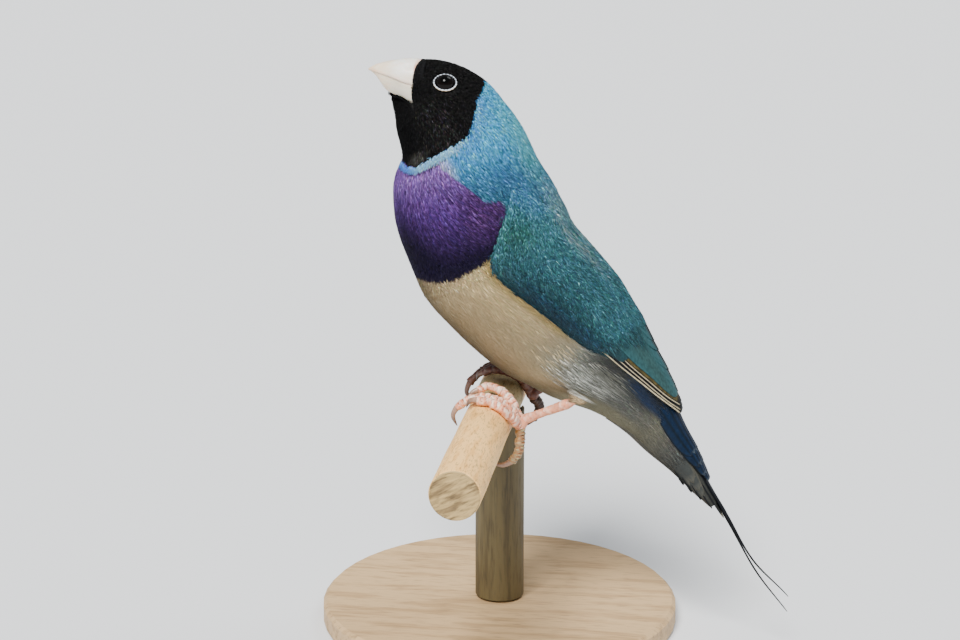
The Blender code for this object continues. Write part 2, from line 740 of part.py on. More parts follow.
def build():
    for obj in list(bpy.data.objects):
        bpy.data.objects.remove(obj)
    finch = bpy.data.collections.new("gouldian_finch")
    bpy.context.scene.collection.children.link(finch)
    black = make_material("head_black", (0.012, 0.012, 0.015), 0.85)
    sky = make_material("neck_blue", (0.14, 0.36, 0.60), 0.75)
    violet = make_material("breast_violet", (0.11, 0.03, 0.22), 0.8)
    teal = make_material("wing_teal", (0.05, 0.20, 0.25), 0.7)
    deep_blue = make_material("rump_blue", (0.04, 0.16, 0.35), 0.65)
    ink = make_material("tail_black", (0.02, 0.02, 0.025), 0.6)
    ivory = make_material("bill_ivory", (0.86, 0.80, 0.74), 0.4)
    jet = make_material("eye_black", (0.006, 0.005, 0.005), 0.05)
    cream = make_material("belly_cream", (0.60, 0.52, 0.40), 0.85)
    pink = make_material("leg_pink", (0.72, 0.42, 0.36), 0.5)
    horn = make_material("claw_horn", (0.45, 0.33, 0.28), 0.4)
    wood = make_material("perch_wood", (0.66, 0.50, 0.32), 0.7)
    make_bill(finch, ivory)
    make_head(finch, black, jet)
    body_node("neck", NECK_RANGE, finch, sky)
    body_node("breast", BREAST_RANGE, finch, violet)
    body_node("torso", TORSO_RANGE, finch, cream)
    body_node("rump", RUMP_RANGE, finch, deep_blue)
    make_tail(finch, ink)
    for side, word in ((1, "left"), (-1, "right")):
        make_wing(side, word, finch, teal)
        make_thigh(side, word, finch, cream)
        make_tarsus(side, word, finch, pink)
        make_foot(side, word, finch, pink, horn)
    make_stand(finch, wood)
    for obj in finch.objects:
        obj.data.shade_smooth()
        obj.data.set_sharp_from_angle(angle=math.radians(40.0))


build()
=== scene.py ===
"""Looks of a gouldian finch on its perch: feathers, bill, eyes, feet and wood, light and camera.

Lengths are millimetres and become metres when a mesh is made. A place on the body is a station s
along its spine and an angle phi round it, in degrees from the middle of the back down the left
side, which faces -Y.
"""

import math

import bpy
import numpy as np
from mathutils import Matrix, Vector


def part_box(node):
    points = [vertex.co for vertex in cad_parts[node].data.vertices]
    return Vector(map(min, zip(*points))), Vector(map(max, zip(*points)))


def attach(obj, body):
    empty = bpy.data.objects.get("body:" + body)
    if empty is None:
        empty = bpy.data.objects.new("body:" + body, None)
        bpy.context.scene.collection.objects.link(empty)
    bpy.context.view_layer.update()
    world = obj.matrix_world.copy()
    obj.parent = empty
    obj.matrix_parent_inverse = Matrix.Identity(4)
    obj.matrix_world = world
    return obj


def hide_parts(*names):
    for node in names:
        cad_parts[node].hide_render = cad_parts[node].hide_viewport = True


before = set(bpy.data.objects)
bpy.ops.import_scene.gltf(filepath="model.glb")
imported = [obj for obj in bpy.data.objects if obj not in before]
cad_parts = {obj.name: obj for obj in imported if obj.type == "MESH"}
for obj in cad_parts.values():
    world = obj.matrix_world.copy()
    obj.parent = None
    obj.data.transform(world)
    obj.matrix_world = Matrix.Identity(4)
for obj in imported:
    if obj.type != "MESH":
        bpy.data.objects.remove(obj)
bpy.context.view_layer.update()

MM = 0.001


def node_box(node):
    """Lowest and highest corner of a node, in millimetres."""
    low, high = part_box(node)
    return np.array(low) / MM, np.array(high) / MM


def node_middle(node):
    low, high = node_box(node)
    return (low + high) / 2


PERCH_Z = node_middle("perch")[2]
BIRD_Y = node_middle("torso")[1]

# Camera, as the photo was taken
CAMERA_AZIMUTH = 8.0
CAMERA_ELEVATION = 15.0
CAMERA_PLACE = (57.62, -440.29, 185.38)
CAMERA_LENS = 82.5
CAMERA_SENSOR = 36.0

# Soft lights: name, direction they come from, strength, softness in degrees and colour
LIGHTS = (
    ("key", (-0.12, -0.60, 0.79), 6.4, 24.0, (1.0, 0.985, 0.96)),
    ("rim", (0.45, 0.35, 0.82), 1.2, 30.0, (0.95, 0.98, 1.0)),
)
WORLD_LIGHT = 0.38

# Spine of the body: centre x and height over the perch's axis, half depth, half width and the lean
# of the back-belly line from +X towards +Z in degrees, at each whole station.
STATIONS = np.array((
    (-17.9, 68.4, 4.7, 2.0, 53.0),
    (-15.5, 66.7, 6.9, 5.3, 50.0),
    (-13.0, 64.3, 9.1, 7.4, 45.0),
    (-10.4, 61.2, 10.85, 8.7, 39.5),
    (-8.4, 58.05, 11.75, 9.9, 30.0),
    (-7.1, 53.95, 13.55, 11.4, 20.0),
    (-5.9, 49.1, 14.9, 13.1, 13.0),
    (-4.0, 43.15, 16.4, 14.4, 15.0),
    (-1.5, 36.7, 16.6, 14.9, 22.0),
    (0.8, 30.75, 16.25, 14.8, 26.5),
    (5.1, 25.8, 16.05, 14.4, 28.0),
    (9.9, 20.7, 15.7, 13.6, 28.0),
    (14.7, 15.3, 14.3, 12.3, 28.0),
    (18.3, 12.3, 12.9, 11.0, 28.5),
    (21.8, 9.2, 11.1, 9.4, 31.5),
    (27.1, 5.2, 8.4, 7.2, 33.0),
    (31.9, 0.0, 6.3, 5.6, 33.0),
    (35.4, -4.9, 4.9, 4.5, 33.0),
    (39.7, -10.1, 3.4, 3.6, 34.0),
    (43.8, -16.0, 1.9, 2.7, 35.0),
    (46.5, -19.3, 1.1, 1.9, 36.0),
))
CHIN_PINCH = np.array(((0.8,), (0.6,), (0.1,)))
CHIN_START = -0.4
LAST_STATION = 19.6

# Depth of the coat under the solids' surface, by station
COAT_DEPTH = ((0.0, 0.25), (1.0, 0.35), (4.0, 0.6), (6.0, 0.9), (14.0, 0.9), (17.0, 0.5), (19.6, 0.2))

# Edges of the markings, as (angle, station)
MASK_EDGE = ((0, 3.05), (40, 3.43), (58, 4.03), (68, 4.42), (85, 4.58), (101, 4.65), (112, 4.78),
             (125, 4.9), (138, 4.73), (155, 4.35), (180, 4.1))
BREAST_TOP = ((55, 7.0), (62, 6.78), (72, 6.73), (75, 6.5), (81, 6.12), (91, 5.65), (102, 5.1),
              (119, 4.9), (180, 4.0))
BREAST_END = ((55, 7.4), (61, 7.6), (68, 7.95), (75, 8.25), (83, 8.42), (90, 8.5), (102, 8.57),
              (113, 8.62), (129, 8.55), (145, 8.4), (180, 8.2))
COLLAR_WIDTH = 0.25

# Colours, as linear red, green and blue
BLACK = (0.0030, 0.0030, 0.0034)
SOOT = (0.0108, 0.0104, 0.0104)
LINE_BLUE = (0.06, 0.26, 1.0)
LINE_PALE = (0.31, 0.69, 1.0)
MOTTLED = (0.062, 0.058, 0.052)
PERIWINKLE = (0.11, 0.40, 1.0)
SKY = (0.075, 0.50, 0.95)
SKY_GREEN = (0.16, 0.62, 0.58)
SKY_DEEP = (0.055, 0.21, 0.40)
LAVENDER = (0.46, 0.50, 0.86)
TEAL = (0.043, 0.168, 0.205)
TEAL_GREEN = (0.036, 0.17, 0.105)
TEAL_DARK = (0.005, 0.030, 0.042)
DEEP_BLUE = (0.010, 0.050, 0.14)
SILVER_PAINTED_SHEEN = (0.20, 0.38, 0.43)
VIOLET_PAINTED_LIGHT = (0.285, 0.135, 0.49)
VIOLET = (0.101, 0.034, 0.225)
VIOLET_PAINTED_SHADE = (0.007, 0.0032, 0.026)
PLUM = (0.105, 0.035, 0.175)
CREAM = (0.57, 0.445, 0.25)
CREAM_PAINTED_SHADE = (0.20, 0.156, 0.084)
CREAM_LIGHT = (0.76, 0.59, 0.30)
STRAW = (0.52, 0.36, 0.11)
FLANK_GREY = (0.31, 0.325, 0.27)
FLANK_REAR = (0.135, 0.138, 0.118)
FLANK_DARK = (0.048, 0.052, 0.045)
VENT = (0.27, 0.255, 0.17)
UNDER_DOWN = (0.17, 0.163, 0.115)
NAVY = (0.0022, 0.0070, 0.0135)
COVERT_BLUE = (0.0035, 0.022, 0.070)
INK = (0.005, 0.006, 0.009)
GOLD = (0.125, 0.098, 0.032)


def curve(table, t):
    """Catmull-Rom rows of a table at t, where whole numbers are its own rows."""
    last = len(table) - 1
    index = np.clip(np.floor(t).astype(int), 0, last - 1)
    f = (t - index)[..., None]
    a = table[np.maximum(index - 1, 0)]
    b = table[index]
    c = table[index + 1]
    d = table[np.minimum(index + 2, last)]
    square = (2 * a - 5 * b + 4 * c - d) * f * f
    cube = (3 * b - 3 * c + d - a) * f * f * f
    return (2 * b + (c - a) * f + square + cube) / 2


def lookup(x, table):
    """Piecewise linear value of a table of (x, value) pairs."""
    keys, values = zip(*table)
    return np.interp(x, keys, values)


def step(x, start, end):
    """Smooth change from 0 at start to 1 at end."""
    t = np.clip((x - start) / (end - start), 0.0, 1.0)
    return t * t * (3 - 2 * t)


def bump(x, middle, half):
    """1 at middle, falling smoothly to 0 at half on either side."""
    t = np.clip(1 - ((x - middle) / half) ** 2, 0.0, 1.0)
    return t * t


def unit(vectors):
    return vectors / np.maximum(np.linalg.norm(vectors, axis=-1, keepdims=True), 1e-9)


def dot(a, b):
    return (a * b).sum(-1)


def body_point(s, phi, lift):
    """Points of the solids' surface, lifted off it."""
    s, phi, lift = np.broadcast_arrays(np.asarray(s, float), phi, lift)
    x, z, depth, width, lean = np.moveaxis(curve(STATIONS, s), -1, 0)
    turn = np.radians(phi)
    up = np.cos(turn)
    side = np.sin(turn)
    pinch = curve(CHIN_PINCH, np.clip(s, 0.0, 2.0))[..., 0]
    width = np.where((s < 2.0) & (up < 0.0), width * (1 + pinch * up), width)
    lean = np.radians(lean)
    normal_up = up / depth
    normal_side = side / width
    length = np.hypot(normal_up, normal_side)
    back = depth * up + lift * normal_up / length
    out = width * side + lift * normal_side / length
    x = x + np.cos(lean) * back
    z = PERCH_Z + z + np.sin(lean) * back
    return np.stack((x, BIRD_Y - out, z), -1)


def coat_depth(s):
    return lookup(s, COAT_DEPTH)


def thigh_bulge(s, phi):
    """How far the thigh under the flank's feathers lifts them."""
    along = (s - 13.1) / 1.7
    round_body = (np.abs(phi) - 108.0 + 3.0 * (s - 13.1)) / 15.0
    return 1.7 * np.exp(-along ** 2 - round_body ** 2)


def chin_shape(s, phi):
    """How the chin's feathers stand out, and how the cheeks draw in beside the lower bill's corners."""
    p = np.abs(phi)
    along = (s - 0.9) / 0.5
    round_body = (p - 107.0) / 17.0
    fluff = 0.35 * step(p, 140.0, 165.0) * step(s, 3.0, 1.5)
    return fluff - 0.9 * np.exp(-along ** 2 - round_body ** 2)


def body_surface(s, phi, lift):
    """Outer surface of the coat on the body."""
    drawn_in = 0.75 * bump(s, 16.6, 2.8) * step(np.abs(phi), 120.0, 165.0)
    shape = thigh_bulge(s, phi) + back_lift(s, phi) + chin_shape(s, phi) - drawn_in
    return body_point(s, phi, lift + shape)


# Wings: how the solids' edges run, as (station, angle), and how thick the folded arm is
WING_FRONT = 6.35
WING_REAR = 13.8
WING_GAP = 0.45
WING_TOP_EDGE = ((6.35, 46.0), (6.9, 36.0), (7.5, 26.0), (8.4, 14.0), (9.5, 6.0), (12.0, 4.0),
                 (14.0, 5.0))
WING_LOW_EDGE = ((6.35, 48.0), (7.05, 59.0), (7.5, 67.0), (7.95, 75.0), (8.33, 82.0), (8.7, 84.0),
                 (9.2, 82.0), (10.0, 79.0), (11.0, 75.0), (12.0, 70.0), (13.0, 64.0), (14.0, 60.0))
WING_THICKNESS = ((6.35, 0.5), (7.4, 1.1), (9.0, 1.7), (11.0, 1.5), (13.0, 1.1), (14.0, 0.9))


def wing_lift(s, phi):
    """Height of the folded wing over the body, rounded down to its edges."""
    phi = np.abs(phi)
    high = lookup(s, WING_TOP_EDGE)
    low = lookup(s, WING_LOW_EDGE)
    u = (phi - high) / (low - high)
    rise = step(u, -0.15, 0.35) * step(u, 1.03, 0.86) * step(s, 6.2, 8.0)
    return (WING_GAP + lookup(s, WING_THICKNESS)) * rise


def back_lift(s, phi):
    """Height of the mantle's feathers, which fill the dip between the wings."""
    rise = np.interp(s, (7.6, 9.4, 11.0, 12.4, 13.3, 14.2), (0.0, 0.9, 1.5, 1.75, 1.4, 0.0))
    return rise * step(np.abs(phi), 34.0, 8.0)


def wing_surface(s, phi, lift):
    return body_point(s, phi, lift + np.maximum(wing_lift(s, phi), back_lift(s, phi)))


def surface_frame(surface, s, phi):
    """Change of a surface with the station and with the angle, and its outward direction."""
    ds = 0.03
    dphi = 0.6
    along = (surface(s + ds, phi, 0.0) - surface(s - ds, phi, 0.0)) / (2 * ds)
    around = (surface(s, phi + dphi, 0.0) - surface(s, phi - dphi, 0.0)) / (2 * dphi)
    normal = unit(np.cross(along, around))
    outward = surface(s, phi, 1.0) - surface(s, phi, 0.0)
    normal = normal * np.sign(dot(normal, outward))[..., None]
    return along, around, normal


def heading_steps(along, around, turn):
    """Station and angle covered for each millimetre along a heading, and that direction.

    The heading is an angle from the spine's direction towards growing phi, in radians.
    """
    reach = np.linalg.norm(along, axis=-1)
    forward = along / reach[..., None]
    skew = dot(around, forward)
    across = around - skew[..., None] * forward
    girth = np.linalg.norm(across, axis=-1)
    across = across / girth[..., None]
    dphi = np.sin(turn) / girth
    ds = (np.cos(turn) - skew * dphi) / reach
    direction = forward * np.cos(turn)[..., None] + across * np.sin(turn)[..., None]
    return ds, dphi, direction


def blend(colours, colour, amount):
    return colours + (np.asarray(colour) - colours) * amount[..., None]


def upper_marks(s, p):
    """Colour of the nape, mantle and wings: sky blue that turns teal, with painted silvery sheen over the
    shoulder and back.
    """
    colours = np.ones(np.shape(s) + (3,)) * TEAL
    colours = blend(colours, SKY_DEEP, step(s, 8.2, 6.6))
    colours = blend(colours, SKY, step(s, 6.5, 4.6))
    colours = blend(colours, SKY_GREEN, 0.55 * step(p, 44.0, 14.0) * bump(s, 5.3, 2.1))
    colours = blend(colours, TEAL_GREEN, 0.5 * bump(s, 7.6, 1.5) * bump(p, 62.0, 22.0))
    # Painted sheen: silvery patches over the shoulder and along the back
    colours = blend(colours, SILVER_PAINTED_SHEEN, 0.55 * bump(s, 7.7, 1.5) * bump(p, 12.0, 26.0))
    colours = blend(colours, SILVER_PAINTED_SHEEN, 0.55 * bump(s, 9.3, 2.0) * bump(p, 14.0, 17.0))
    shade = np.interp(p, (0.0, 22.0, 44.0, 60.0, 80.0), (1.0, 1.22, 1.22, 0.86, 0.8))
    return colours * (1.0 + (shade - 1.0) * step(s, 6.6, 8.2))[..., None]


def marks(s, phi):
    """Colour of the plumage of head and body at a place."""
    p = np.abs(phi)
    colours = upper_marks(s, p)
    mask = lookup(p, MASK_EDGE)
    top = lookup(p, BREAST_TOP)
    end = lookup(p, BREAST_END)
    colours = blend(colours, PERIWINKLE, 0.75 * step(s, mask + 1.1, mask + 0.1) * step(p, 15.0, 45.0))
    colours = blend(colours, LAVENDER, 0.9 * step(p, 82.0, 96.0) * step(s, top - 0.9, top - 0.2))
    # Violet breast with painted light at its top and painted shade towards its lower part
    violet = blend(np.ones(np.shape(s) + (3,)) * VIOLET_PAINTED_LIGHT, VIOLET, step(s, 5.1, 7.0))
    violet = blend(violet, VIOLET, 0.6 * step(p, 125.0, 160.0) * step(s, 6.0, 5.0))
    violet = blend(violet, VIOLET_PAINTED_SHADE, step(s + 0.8 * step(p, 105.0, 150.0), 6.6, 8.4))
    violet = blend(violet, PLUM, 0.85 * step(p, 100.0, 78.0) * step(s, 5.8, 6.6) * step(s, 8.2, 7.2))
    colours = blend(colours, violet, step(s, top - 0.03, top + 0.05) * step(p, 59.0, 62.0))
    # Painted shade: the cream belly darkens towards its underside
    belly = blend(np.ones(np.shape(s) + (3,)) * CREAM_PAINTED_SHADE, CREAM, step(p, 163.0, 116.0))
    edge = lookup(s, WING_LOW_EDGE)
    belly = blend(belly, CREAM_LIGHT, step(p, edge + 38.0, edge + 10.0) * step(s, 12.0, 10.0))
    belly = blend(belly, STRAW, 0.75 * bump(p, edge + 2.0, 7.0) * step(s, 12.5, 11.0))
    belly = blend(belly, VENT, step(s, 12.6, 15.0))
    belly = blend(belly, FLANK_GREY, step(s, 11.2, 12.6) * step(p, 112.0, 94.0))
    belly = blend(belly, FLANK_REAR, step(s, 13.2, 14.8) * step(p, 120.0, 98.0))
    belly = blend(belly, FLANK_DARK, step(s, 12.0, 13.4) * step(p, 90.0, 74.0))
    belly = blend(belly, UNDER_DOWN, step(s, 15.2, 16.6))
    belly = blend(belly, UNDER_GREY, 0.9 * step(s, 16.2, 17.6))
    belly = blend(belly, UNDER_TIP, 0.45 * step(s, 16.8, 18.0))
    under = np.where(s > 12.0, step(p, 50.0, 60.0), step(p, 60.0, 62.0))
    under = np.maximum(under, step(s, 14.9, 15.3))
    colours = blend(colours, belly, step(s, end - 0.03, end + 0.05) * under)
    blue = blend(np.ones(np.shape(s) + (3,)) * NAVY, COVERT_BLUE, bump(p, 66.0, 18.0))
    blue = blend(blue, COVERT_BLUE, 0.6 * bump(p, 14.0, 20.0) * step(s, 16.0, 17.0))
    reach = np.interp(s, (14.4, 15.5, 16.4, 19.0), (69.0, 74.0, 60.0, 40.0))
    colours = blend(colours, blue, step(s, 14.3, 14.9) * step(p, reach + 6.0, reach - 6.0))
    soot = np.maximum(bump(p, 88.0, 40.0) * step(s, 1.2, 2.6), 0.7 * step(p, 90.0, 60.0))
    black = blend(np.ones(np.shape(s) + (3,)) * BLACK, SOOT, soot)
    black = blend(black, MOTTLED, bump(p, 127.0, 18.0) * bump(s, 4.45, 0.55))
    return blend(colours, black, step(s, mask + 0.02, mask - 0.02))


def wing_marks(s, phi):
    """Colour of the plumage of a folded wing at a place."""
    p = np.abs(phi)
    low = lookup(s, WING_LOW_EDGE)
    colours = upper_marks(s, p)
    colours = blend(colours, TEAL_DARK, 0.6 * step(p, low - 24.0, low - 3.0) * step(s, 8.2, 9.6))
    colours = blend(colours, DEEP_BLUE, 0.35 * bump(p, low - 6.0, 9.0) * step(s, 9.2, 10.2))
    colours = colours * (1.0 - 0.22 * bump(s, 10.9, 2.2) * step(p, 22.0, 32.0))[..., None]
    colours = blend(colours, PANEL_TEAL, 0.8 * step(s, 12.2, 13.2))
    return blend(colours, TEAL_DARK, 0.85 * step(p, low - 3.0, low + 1.0) * step(s, 8.2, 9.0))


# Making of pieces

def rgba(colours):
    return np.concatenate((colours, np.ones(colours.shape[:-1] + (1,))), -1)


def new_piece(name, points, triangles, material, slot, colours=None, places=None):
    """Piece from points in millimetres, riding on the body, with its colours and bake map.

    Colours are given for each point, and places in the bake map for each point or each corner.
    """
    mesh = bpy.data.meshes.new(name)
    corners = triangles.size
    mesh.vertices.add(len(points))
    mesh.vertices.foreach_set("co", (points * MM).astype(np.float32).ravel())
    mesh.loops.add(corners)
    mesh.loops.foreach_set("vertex_index", triangles.astype(np.int32).ravel())
    mesh.polygons.add(len(triangles))
    mesh.polygons.foreach_set("loop_start", np.arange(0, corners, 3, dtype=np.int32))
    mesh.polygons.foreach_set("use_smooth", np.ones(len(triangles), dtype=bool))
    mesh.update(calc_edges=True)
    if colours is not None:
        layer = mesh.color_attributes.new("Plumage", "FLOAT_COLOR", "POINT")
        layer.data.foreach_set("color", rgba(colours).astype(np.float32).ravel())
    if places is not None:
        if len(places) == len(points):
            places = places[triangles.ravel()]
        layer = mesh.uv_layers.new(name="OFBake")
        layer.data.foreach_set("uv", places.astype(np.float32).ravel())
    mesh.materials.append(material)
    piece = bpy.data.objects.new(name, mesh)
    bpy.context.scene.collection.objects.link(piece)
    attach(piece, "root")
    return piece


def loft(rings):
    """Points, triangles and bake places of a closed loft through rings of equal count."""
    rows, sides = rings.shape[:2]
    points = rings.reshape(-1, 3)
    i, k = np.meshgrid(np.arange(rows - 1), np.arange(sides), indexing="ij")
    i = i.ravel()
    k = k.ravel()
    a = i * sides + k
    b = i * sides + (k + 1) % sides
    first = np.stack((a, b, b + sides), -1)
    second = np.stack((a, b + sides, a + sides), -1)
    u = k / sides
    v = i / (rows - 1)
    du = 1.0 / sides
    dv = 1.0 / (rows - 1)
    corners = {
        "a": np.stack((u, v), -1),
        "b": np.stack((u + du, v), -1),
        "c": np.stack((u + du, v + dv), -1),
        "d": np.stack((u, v + dv), -1),
    }
    triangles = [first, second]
    places = [np.stack([corners[key] for key in "abc"], 1), np.stack([corners[key] for key in "acd"], 1)]
    ends = []
    for row, order in ((0, -1), (rows - 1, 1)):
        middle = len(points) + len(ends)
        ends.append(rings[row].mean(0))
        k = np.arange(sides)
        fan = np.stack((row * sides + k, row * sides + (k + 1) % sides, np.full(sides, middle)), -1)
        v = row / (rows - 1)
        spots = np.stack((
            np.stack((k / sides, np.full(sides, v)), -1),
            np.stack(((k + 1) / sides, np.full(sides, v)), -1),
            np.stack(((k + 0.5) / sides, np.full(sides, v)), -1),
        ), 1)
        triangles.append(fan[:, ::order])
        places.append(spots[:, ::order])
    points = np.concatenate((points, np.array(ends)))
    triangles = np.concatenate(triangles)
    places = np.concatenate(places)
    if volume(points, triangles) < 0.0:
        triangles = triangles[:, ::-1]
        places = places[:, ::-1]
    return points, triangles, places.reshape(-1, 2)


def volume(points, triangles):
    a, b, c = (points[triangles[:, k]] for k in range(3))
    return dot(a, np.cross(b, c)).sum() / 6


def joined(parts):
    """One set of points, triangles, colours and places from several."""
    points, triangles, colours, places = [], [], [], []
    count = 0
    for part in parts:
        points.append(part[0])
        triangles.append(part[1] + count)
        colours.append(part[2])
        places.append(part[3])
        count += len(part[0])
    return [np.concatenate(group) for group in (points, triangles, colours, places)]


def new_nodes(name):
    """Material with a Principled shader, and a function that adds and sets a node in it."""
    material = bpy.data.materials.new(name)
    material.use_nodes = True
    tree = material.node_tree
    shader = tree.nodes["Principled BSDF"]

    def add(kind, links=(), **values):
        node = tree.nodes.new(kind)
        for key, value in values.items():
            if hasattr(node, key):
                setattr(node, key, value)
            else:
                node.inputs[key.replace("_", " ")].default_value = value
        for socket, source in links:
            tree.links.new(source, node.inputs[socket])
        return node

    def link(socket, source):
        tree.links.new(source, shader.inputs[socket])

    return material, shader, add, link


def coordinates(add, scale, turn=0.0):
    """Coordinates of the object itself, turned about Y, then stretched by a scale in each direction."""
    source = add("ShaderNodeTexCoord")
    turned = add("ShaderNodeVectorRotate", [("Vector", source.outputs["Object"])],
                 rotation_type="Y_AXIS", Angle=turn)
    mapping = add("ShaderNodeMapping", [("Vector", turned.outputs["Vector"])])
    mapping.inputs["Scale"].default_value = scale
    return mapping.outputs["Vector"]


def multiply(add, first, second, amount):
    """First colour multiplied by the second."""
    mix = add("ShaderNodeMix", data_type="RGBA", blend_type="MULTIPLY")
    mix.inputs[0].default_value = amount
    mix.id_data.links.new(first, mix.inputs[6])
    mix.id_data.links.new(second, mix.inputs[7])
    return mix.outputs[2]


def ramp(add, source, stops):
    """Colour ramp over a factor, with stops of (position, colour)."""
    node = add("ShaderNodeValToRGB", [("Fac", source)])
    node.color_ramp.elements[0].position = stops[0][0]
    node.color_ramp.elements[0].color = (*stops[0][1], 1.0)
    node.color_ramp.elements[1].position = stops[-1][0]
    node.color_ramp.elements[1].color = (*stops[-1][1], 1.0)
    for position, colour in stops[1:-1]:
        node.color_ramp.elements.new(position).color = (*colour, 1.0)
    return node.outputs["Color"]


def grey(value):
    return (value, value, value)


def feather_material(name, roughness, sheen, gloss, grain=2200.0, depth=0.35):
    """Plumage: the piece's own colours with a fine uneven grain, soft sheen and little gloss."""
    material, shader, add, link = new_nodes(name)
    colour = add("ShaderNodeAttribute", attribute_name="Plumage")
    noise = add("ShaderNodeTexNoise", [("Vector", coordinates(add, (1.0, 1.0, 1.0)))],
                Scale=grain, Detail=2.0)
    tone = ramp(add, noise.outputs["Fac"], ((0.3, grey(1.0 - depth)), (0.7, grey(1.0))))
    link("Base Color", multiply(add, colour.outputs["Color"], tone, 1.0))
    shader.inputs["Roughness"].default_value = roughness
    shader.inputs["Sheen Weight"].default_value = sheen
    shader.inputs["Sheen Roughness"].default_value = 0.4
    shader.inputs["Specular IOR Level"].default_value = gloss
    lift = add("ShaderNodeBump", [("Height", noise.outputs["Fac"])], Strength=0.3, Distance=0.00008)
    link("Normal", lift.outputs["Normal"])
    return material


# Plumage in fine tufts

def scatter(rng, count, surface, s_range, phi_range, wanted):
    """Places spread evenly over a surface, thinned by a function that says how many are wanted."""
    found_s, found_phi = [], []
    total = 0
    largest = None
    while total < count:
        s = rng.uniform(*s_range, 4 * count)
        phi = rng.uniform(*phi_range, 4 * count)
        along, around, _ = surface_frame(surface, s, phi)
        area = np.linalg.norm(np.cross(along, around), axis=-1)
        if largest is None:
            largest = np.percentile(area, 99.5)
        keep = rng.uniform(0.0, 1.0, 4 * count) < area / largest * wanted(s, phi)
        found_s.append(s[keep])
        found_phi.append(phi[keep])
        total += keep.sum()
    return np.concatenate(found_s)[:count], np.concatenate(found_phi)[:count]


def spindles(rng, starts, middles, ends, across, normal, width, homes, colours, contrast, ridge=0.7):
    """Closed three-sided blades, widest half way, each with its own shade.

    Homes are places in the bake map, one for each blade.
    """
    count = len(starts)
    half = (width / 2)[:, None]
    points = np.stack((
        starts,
        middles - across * half,
        middles + across * half,
        middles + normal * half * ridge,
        ends,
    ), 1).reshape(-1, 3)
    triangles = (SPINDLE_FACES[None] + SPINDLE_POINTS * np.arange(count)[:, None, None]).reshape(-1, 3)
    shade = np.exp(rng.normal(0.0, 1.0, count) * contrast)
    depth = np.minimum(contrast * 3.0, 1.0)
    grade = 1.0 + (SPINDLE_GRADE[None, :] - 1.0) * np.broadcast_to(depth, (count,))[:, None]
    tinted = colours[:, None, :] * (shade[:, None] * grade)[:, :, None]
    grey_light = tinted.mean(-1, keepdims=True) * np.array((0.95, 1.0, 1.06))
    silvery = 0.16 * np.clip(np.log(shade) / (2.0 * np.maximum(contrast, 0.2)), 0.0, 1.0)
    tinted = tinted + (grey_light - tinted) * silvery[:, None, None]
    places = homes[:, None, :] + SPINDLE_PATCH[None] * PATCH
    return points, triangles, np.clip(tinted.reshape(-1, 3), 0.0, 1.0), places.reshape(-1, 2)


PATCH = 0.003
SPINDLE_POINTS = 5
SPINDLE_FACES = np.array(((0, 1, 3), (0, 3, 2), (0, 2, 1), (1, 4, 3), (2, 3, 4), (1, 2, 4)))
SPINDLE_GRADE = np.array((0.4, 0.85, 0.85, 1.0, 1.2))
SPINDLE_PATCH = np.array(((0.0, 0.0), (-0.5, 0.5), (0.5, 0.5), (0.0, 0.5), (0.0, 1.0)))


def eye_frame(side):
    """Centre, level and upright directions and outward direction of an eye."""
    s = np.array((EYE_STATION,))
    phi = np.array((side * EYE_ANGLE,))
    _, _, normal = surface_frame(body_point, s, phi)
    normal = normal[0]
    level = unit(np.array((-1.0, 0.0, 0.0)) + normal * normal[0])
    upright = np.cross(level, normal) * side
    word = "left" if side > 0 else "right"
    return node_middle("eye_" + word), level, upright, normal


EYE_STATION = 1.95
EYE_ANGLE = 50.0
LID_LENGTH = 2.22
LID_HEIGHT = 1.84


def away_from_eyes(points, margin):
    """Which points lie clear of the eyes and their lids."""
    clear = np.ones(len(points), bool)
    for side in (1, -1):
        centre, level, upright, normal = eye_frame(side)
        offset = points - centre
        across = dot(offset, level) / (LID_LENGTH + margin)
        over = dot(offset, upright) / (LID_HEIGHT + margin)
        clear &= (across ** 2 + over ** 2 > 1.0) | (dot(offset, normal) < 0.0)
    return clear


def coat(name, slot, material, seed, count, surface, s_range, phi_range, wanted, lie, colour, shape,
         ridge=0.7, uneven=0.06):
    """Piece of coat: tufts scattered over a surface.

    The lie gives the heading at a place, in degrees from the spine's direction towards the belly,
    and how far it strays. The shape gives the tufts' length and width, the height of their tips and
    the contrast of their shades, each at a place.
    """
    rng = np.random.default_rng(seed)
    s, phi = scatter(rng, count, surface, s_range, phi_range, wanted)
    heading, stray = lie(s, phi)
    heading = heading + rng.normal(0.0, 1.0, count) * stray
    length, width, tip, contrast = shape(s, phi)
    length = length * rng.uniform(0.7, 1.25, count)
    width = width * rng.uniform(0.75, 1.25, count)
    tip = tip + rng.normal(0.0, uneven, count)
    root = -coat_depth(s)
    along, around, normal = surface_frame(surface, s, phi)
    turn = np.radians(heading) * np.sign(phi)
    ds, dphi, direction = heading_steps(along, around, turn)
    starts, middles, ends = (
        surface(s + ds * length * t, phi + dphi * length * t, root + (tip - root) * rise)
        for t, rise in ((0.0, 0.0), (0.5, 0.75), (1.0, 1.0))
    )
    shown = 0.85 * length
    colours = colour(s + ds * shown, phi + dphi * shown)
    hue = rng.normal(0.0, 0.22, (count, 3)) * np.broadcast_to(contrast, (count,))[:, None]
    colours = colours * np.exp(hue)
    homes = np.stack((phi / 360.0 + 0.5, (s + 0.5) / 20.5), -1)
    across = np.cross(normal, direction)
    parts = spindles(rng, starts, middles, ends, across, normal, width, homes, colours, contrast, ridge)
    points, triangles, tinted, places = parts
    keep = away_from_eyes(ends, 0.1) & away_from_eyes(starts, 0.1) & clear_of_bill(ends)
    chosen = np.repeat(keep, SPINDLE_POINTS)
    renumber = np.cumsum(chosen) - 1
    triangles = renumber[triangles[np.repeat(keep, len(SPINDLE_FACES))]]
    return new_piece(name, points[chosen], triangles, material, slot, tinted[chosen], places[chosen])


